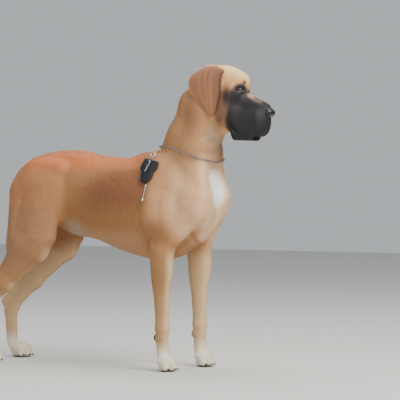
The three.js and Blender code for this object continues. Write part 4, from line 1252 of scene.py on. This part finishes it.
# Whiskers on the muzzle and over the eyes
whiskerSettings = {"count": 11, "length": 34, "root": 0.45, "droop": (-0.2, 0, -0.3)}
whiskers = []
for side in (1, -1):
    for i in range(whiskerSettings["count"]):
        row, spot = divmod(i, 4)
        start = np.array((560 - 16 * spot, side * 42, 946 - 15 * row), float)
        for _ in range(12):
            start[1] -= 0.8 * side * bodyDistance(turned(start)[None])[0]
        way = unitRows(np.array([(-0.35 + 0.5 * dice.random(), side, -0.5 * dice.random())]))[0]
        t = np.linspace(0, 1, 8)[:, None]
        bend = t * way + t**2 * np.array(whiskerSettings["droop"])
        line = start - way * 2 + whiskerSettings["length"] * dice.uniform(0.7, 1.1) * bend
        whiskers.append(tubeMesh(turned(line), whiskerSettings["root"] * (1.05 - t[:, 0]), 5))
settle(meshObject("whiskers", *joinedMeshes(whiskers), plain["whisker"]), "coat")
print("claws and whiskers made")

# The collar: a slack chain of many links on the base of the neck
chainSettings = {
    "axis": 270,
    "height": 822,
    "drop": 31,  # how far the throat's side hangs below the middle
    "sag": 6,
    "links": 118,
    "wire": 1.15,
    "long": 5.6,
    "wide": 2.232,
    "lift": 4.1,
    "lean": 45,
}


# Points on the neck at even angles about an upright axis
def chainLine(count):
    angle = np.arange(count) * 2 * math.pi / count
    drop, sag = chainSettings["drop"], chainSettings["sag"]
    height = chainSettings["height"] - drop * np.cos(angle) - sag * np.cos(2 * angle)
    way = np.stack([np.cos(angle), np.sin(angle), 0 * angle], 1)
    near, far = np.full(count, 40.0), np.full(count, 220.0)
    base = np.stack([np.full(count, chainSettings["axis"]), 0 * angle, height], 1)
    for _ in range(24):
        reach = (near + far) / 2
        outside = bodyDistance(base + way * reach[:, None]) > chainSettings["lift"]
        far, near = np.where(outside, reach, far), np.where(outside, near, reach)
    return base + way * far[:, None]


def squared(v):
    return np.sign(v) * np.abs(v) ** 0.8


# A stadium-shaped link with its long way along one direction and its wide way along another
def linkMesh(centre, along, wide, long, width, wire, sides=8, steps=24):
    turn = np.arange(steps) * 2 * math.pi / steps
    c, s = np.cos(turn), np.sin(turn)
    line = centre + np.outer(long * squared(c), along) + np.outer(width * squared(s), wide)
    return tubeMesh(line, np.full(steps, wire), sides, joined=True)


line = chainLine(chainSettings["links"])
along = unitRows(np.roll(line, -1, 0) - np.roll(line, 1, 0))
away = (line - (chainSettings["axis"], 0, 0)) * (1, 1, 0)
away = unitRows(np.cross(np.cross(along, away), along))
across = np.cross(along, away)
linkSizes = [chainSettings[size] for size in ("long", "wide", "wire")]
links = []
for i in range(chainSettings["links"]):
    lean = math.radians(chainSettings["lean"] if i % 2 else -chainSettings["lean"])
    wide = away[i] * math.cos(lean) + across[i] * math.sin(lean)
    links.append(linkMesh(line[i], along[i], wide, *linkSizes))
settle(meshObject("chainLinks", *joinedMeshes(links), plain["dark steel"]), "chain", "collar_chain")


# A place on the right shoulder at a length and a height, with the skin's way out, as a frame of axes
def onShoulder(x, z, lift, tilt):
    outside, inside = -260.0, 0.0
    for _ in range(26):
        y = (outside + inside) / 2
        if bodyDistance(np.array([[x, y, z]]))[0] > lift:
            outside = y
        else:
            inside = y
    at = np.array((x, outside, z))
    steps = np.eye(3)
    out = bodyDistance(at + steps) - bodyDistance(at - steps)
    out = out / np.linalg.norm(out)
    up = np.array((math.sin(tilt), 0, math.cos(tilt)))
    up = up - out * (up @ out)
    up = up / np.linalg.norm(up)
    return at, np.stack([np.cross(up, out), up, out])


def laid(mesh, x, z, lift, tilt):
    points, faces = mesh
    at, axes = onShoulder(x, z, lift, tilt)
    return at + points @ axes, faces


# A flat plate from its outline, drawn anticlockwise, with rounded edges
def plateMesh(outline, depth, bevel):
    outline = np.array(outline, float)
    tangent = unitRows(np.roll(outline, -1, 0) - np.roll(outline, 1, 0))
    outwards = np.stack([tangent[:, 1], -tangent[:, 0]], 1)
    part = 0.7 * bevel  # height and reach of the rounding at its middle
    levels = [(-bevel, 0), (-part, part), (0, bevel)]
    levels += [(depth, bevel), (depth + part, part), (depth + bevel, 0)]
    n, top = len(outline), (len(levels) - 1) * len(outline)
    rings = [np.concatenate([outline + outwards * grow, np.full((n, 1), z)], 1) for z, grow in levels]
    rim = np.arange(n)
    return np.concatenate(rings), [ringQuads(len(levels), n), rim[::-1][None], (top + rim)[None]]


# What hangs from the collar on the right shoulder: a link, an oval ring, a snap hook, a pouch and a rod.
# Each has its length and height on the shoulder, its distance from the skin and its tilt.
tagPlaces = {
    "collar_link": (170, 832, 4.5, 1.3),
    "collar_ring": (153, 814, 5, 0.12),
    "snap_hook": (148, 771, 18.5, 0.15),
    "tag_fob": (153, 752, 7.5, 0),
    "tag_rod": (147, 670, 8, 0.15),
}
hookPoints = [(0, 21, 0), (5, 20, 0), (6, 14, 0), (4, 6, 0), (2, -3, 0), (1, -13, 0), (-2, -22, 0)]
hookRadii = (2.0, 2.2, 2.3, 2.5, 2.9, 2.9, 2.0)
pouchOutline = [
    (-24, 45), (-31, 24), (-34.5, 10), (-28, -2), (-26, -20), (-23, -39), (-15, -46), (-3, -45.5), (8, -40),
    (16, -28), (18.5, -14), (19, -3), (30, 8), (33, 20), (34, 31), (32, 35), (6, 41.6), (-20, 48), (-20, 48),
]
rodHeights, rodRadii = (-32, -28, -24, -20, 24, 27, 32), (4.6, 5.2, 3.2, 2.8, 2.8, 4.4, 3.4)


def tag(name, node, mesh, look, slot="metal"):
    settle(meshObject(name, *laid(mesh, *tagPlaces[node]), plain[look]), slot, node)


flat = (np.zeros(3), np.array((0, 1, 0)), np.array((1, 0, 0)))
tag("smallLink", "collar_link", linkMesh(*flat, 7.4, 4.6, 1.7, 10, 32), "steel")
tag("ovalRing", "collar_ring", linkMesh(*flat, 12.6, 8.6, 1.75, 12, 48), "steel")
hookSizes = np.interp(np.linspace(0, 6, 40), range(7), hookRadii)
tag("snapHook", "snap_hook", tubeMesh(smoothLine(hookPoints, 40), hookSizes, 14), "steel")
tag("pouch", "tag_fob", plateMesh(smoothLine(pouchOutline, 110)[:-1], 5, 2.3), "pouch", "fob")
rodLine = np.linspace(-32, 32, 40)[:, None] * (0, 1, 0)
tag("rod", "tag_rod", tubeMesh(rodLine, np.interp(rodLine[:, 1], rodHeights, rodRadii), 16), "steel")
print("collar made")

# A plain pale floor, soft lamps and an even sky
floorReach = 9000
floorCorners = np.array([[-1, -1, 0], [1, -1, 0], [1, 1, 0], [-1, 1, 0]]) * floorReach
floor = meshObject("floor", floorCorners, np.array([[0, 1, 2, 3]]), plain["floor"])
lamps = {
    "key": {"place": (3.2, -1.2, 3.6), "size": 2.6, "power": 270, "colour": (1.0, 0.96, 0.9)},
    "fill": {"place": (0.5, -5.0, 2.2), "size": 4.0, "power": 60, "colour": (0.95, 0.97, 1.0)},
    "top": {"place": (-0.8, 0.8, 4.2), "size": 3.0, "power": 110, "colour": (1.0, 0.97, 0.92)},
}
lampTarget = np.array((0.0, 0.0, 0.6))
skyLight = {"Color": (0.82, 0.86, 0.9, 1), "Strength": 0.6}
for name, lamp in lamps.items():
    data = bpy.data.lights.new(name, "AREA")
    data.energy = lamp["power"]
    data.size = lamp["size"]
    data.color = lamp["colour"]
    made = bpy.data.objects.new(name, data)
    bpy.context.collection.objects.link(made)
    made.location = lamp["place"]
    made.rotation_euler = Vector(lampTarget - lamp["place"]).to_track_quat("-Z", "Y").to_euler()
world = bpy.data.worlds.new("world")
bpy.context.scene.world = world
world.use_nodes = True
for key, value in skyLight.items():
    world.node_tree.nodes["Background"].inputs[key].default_value = value
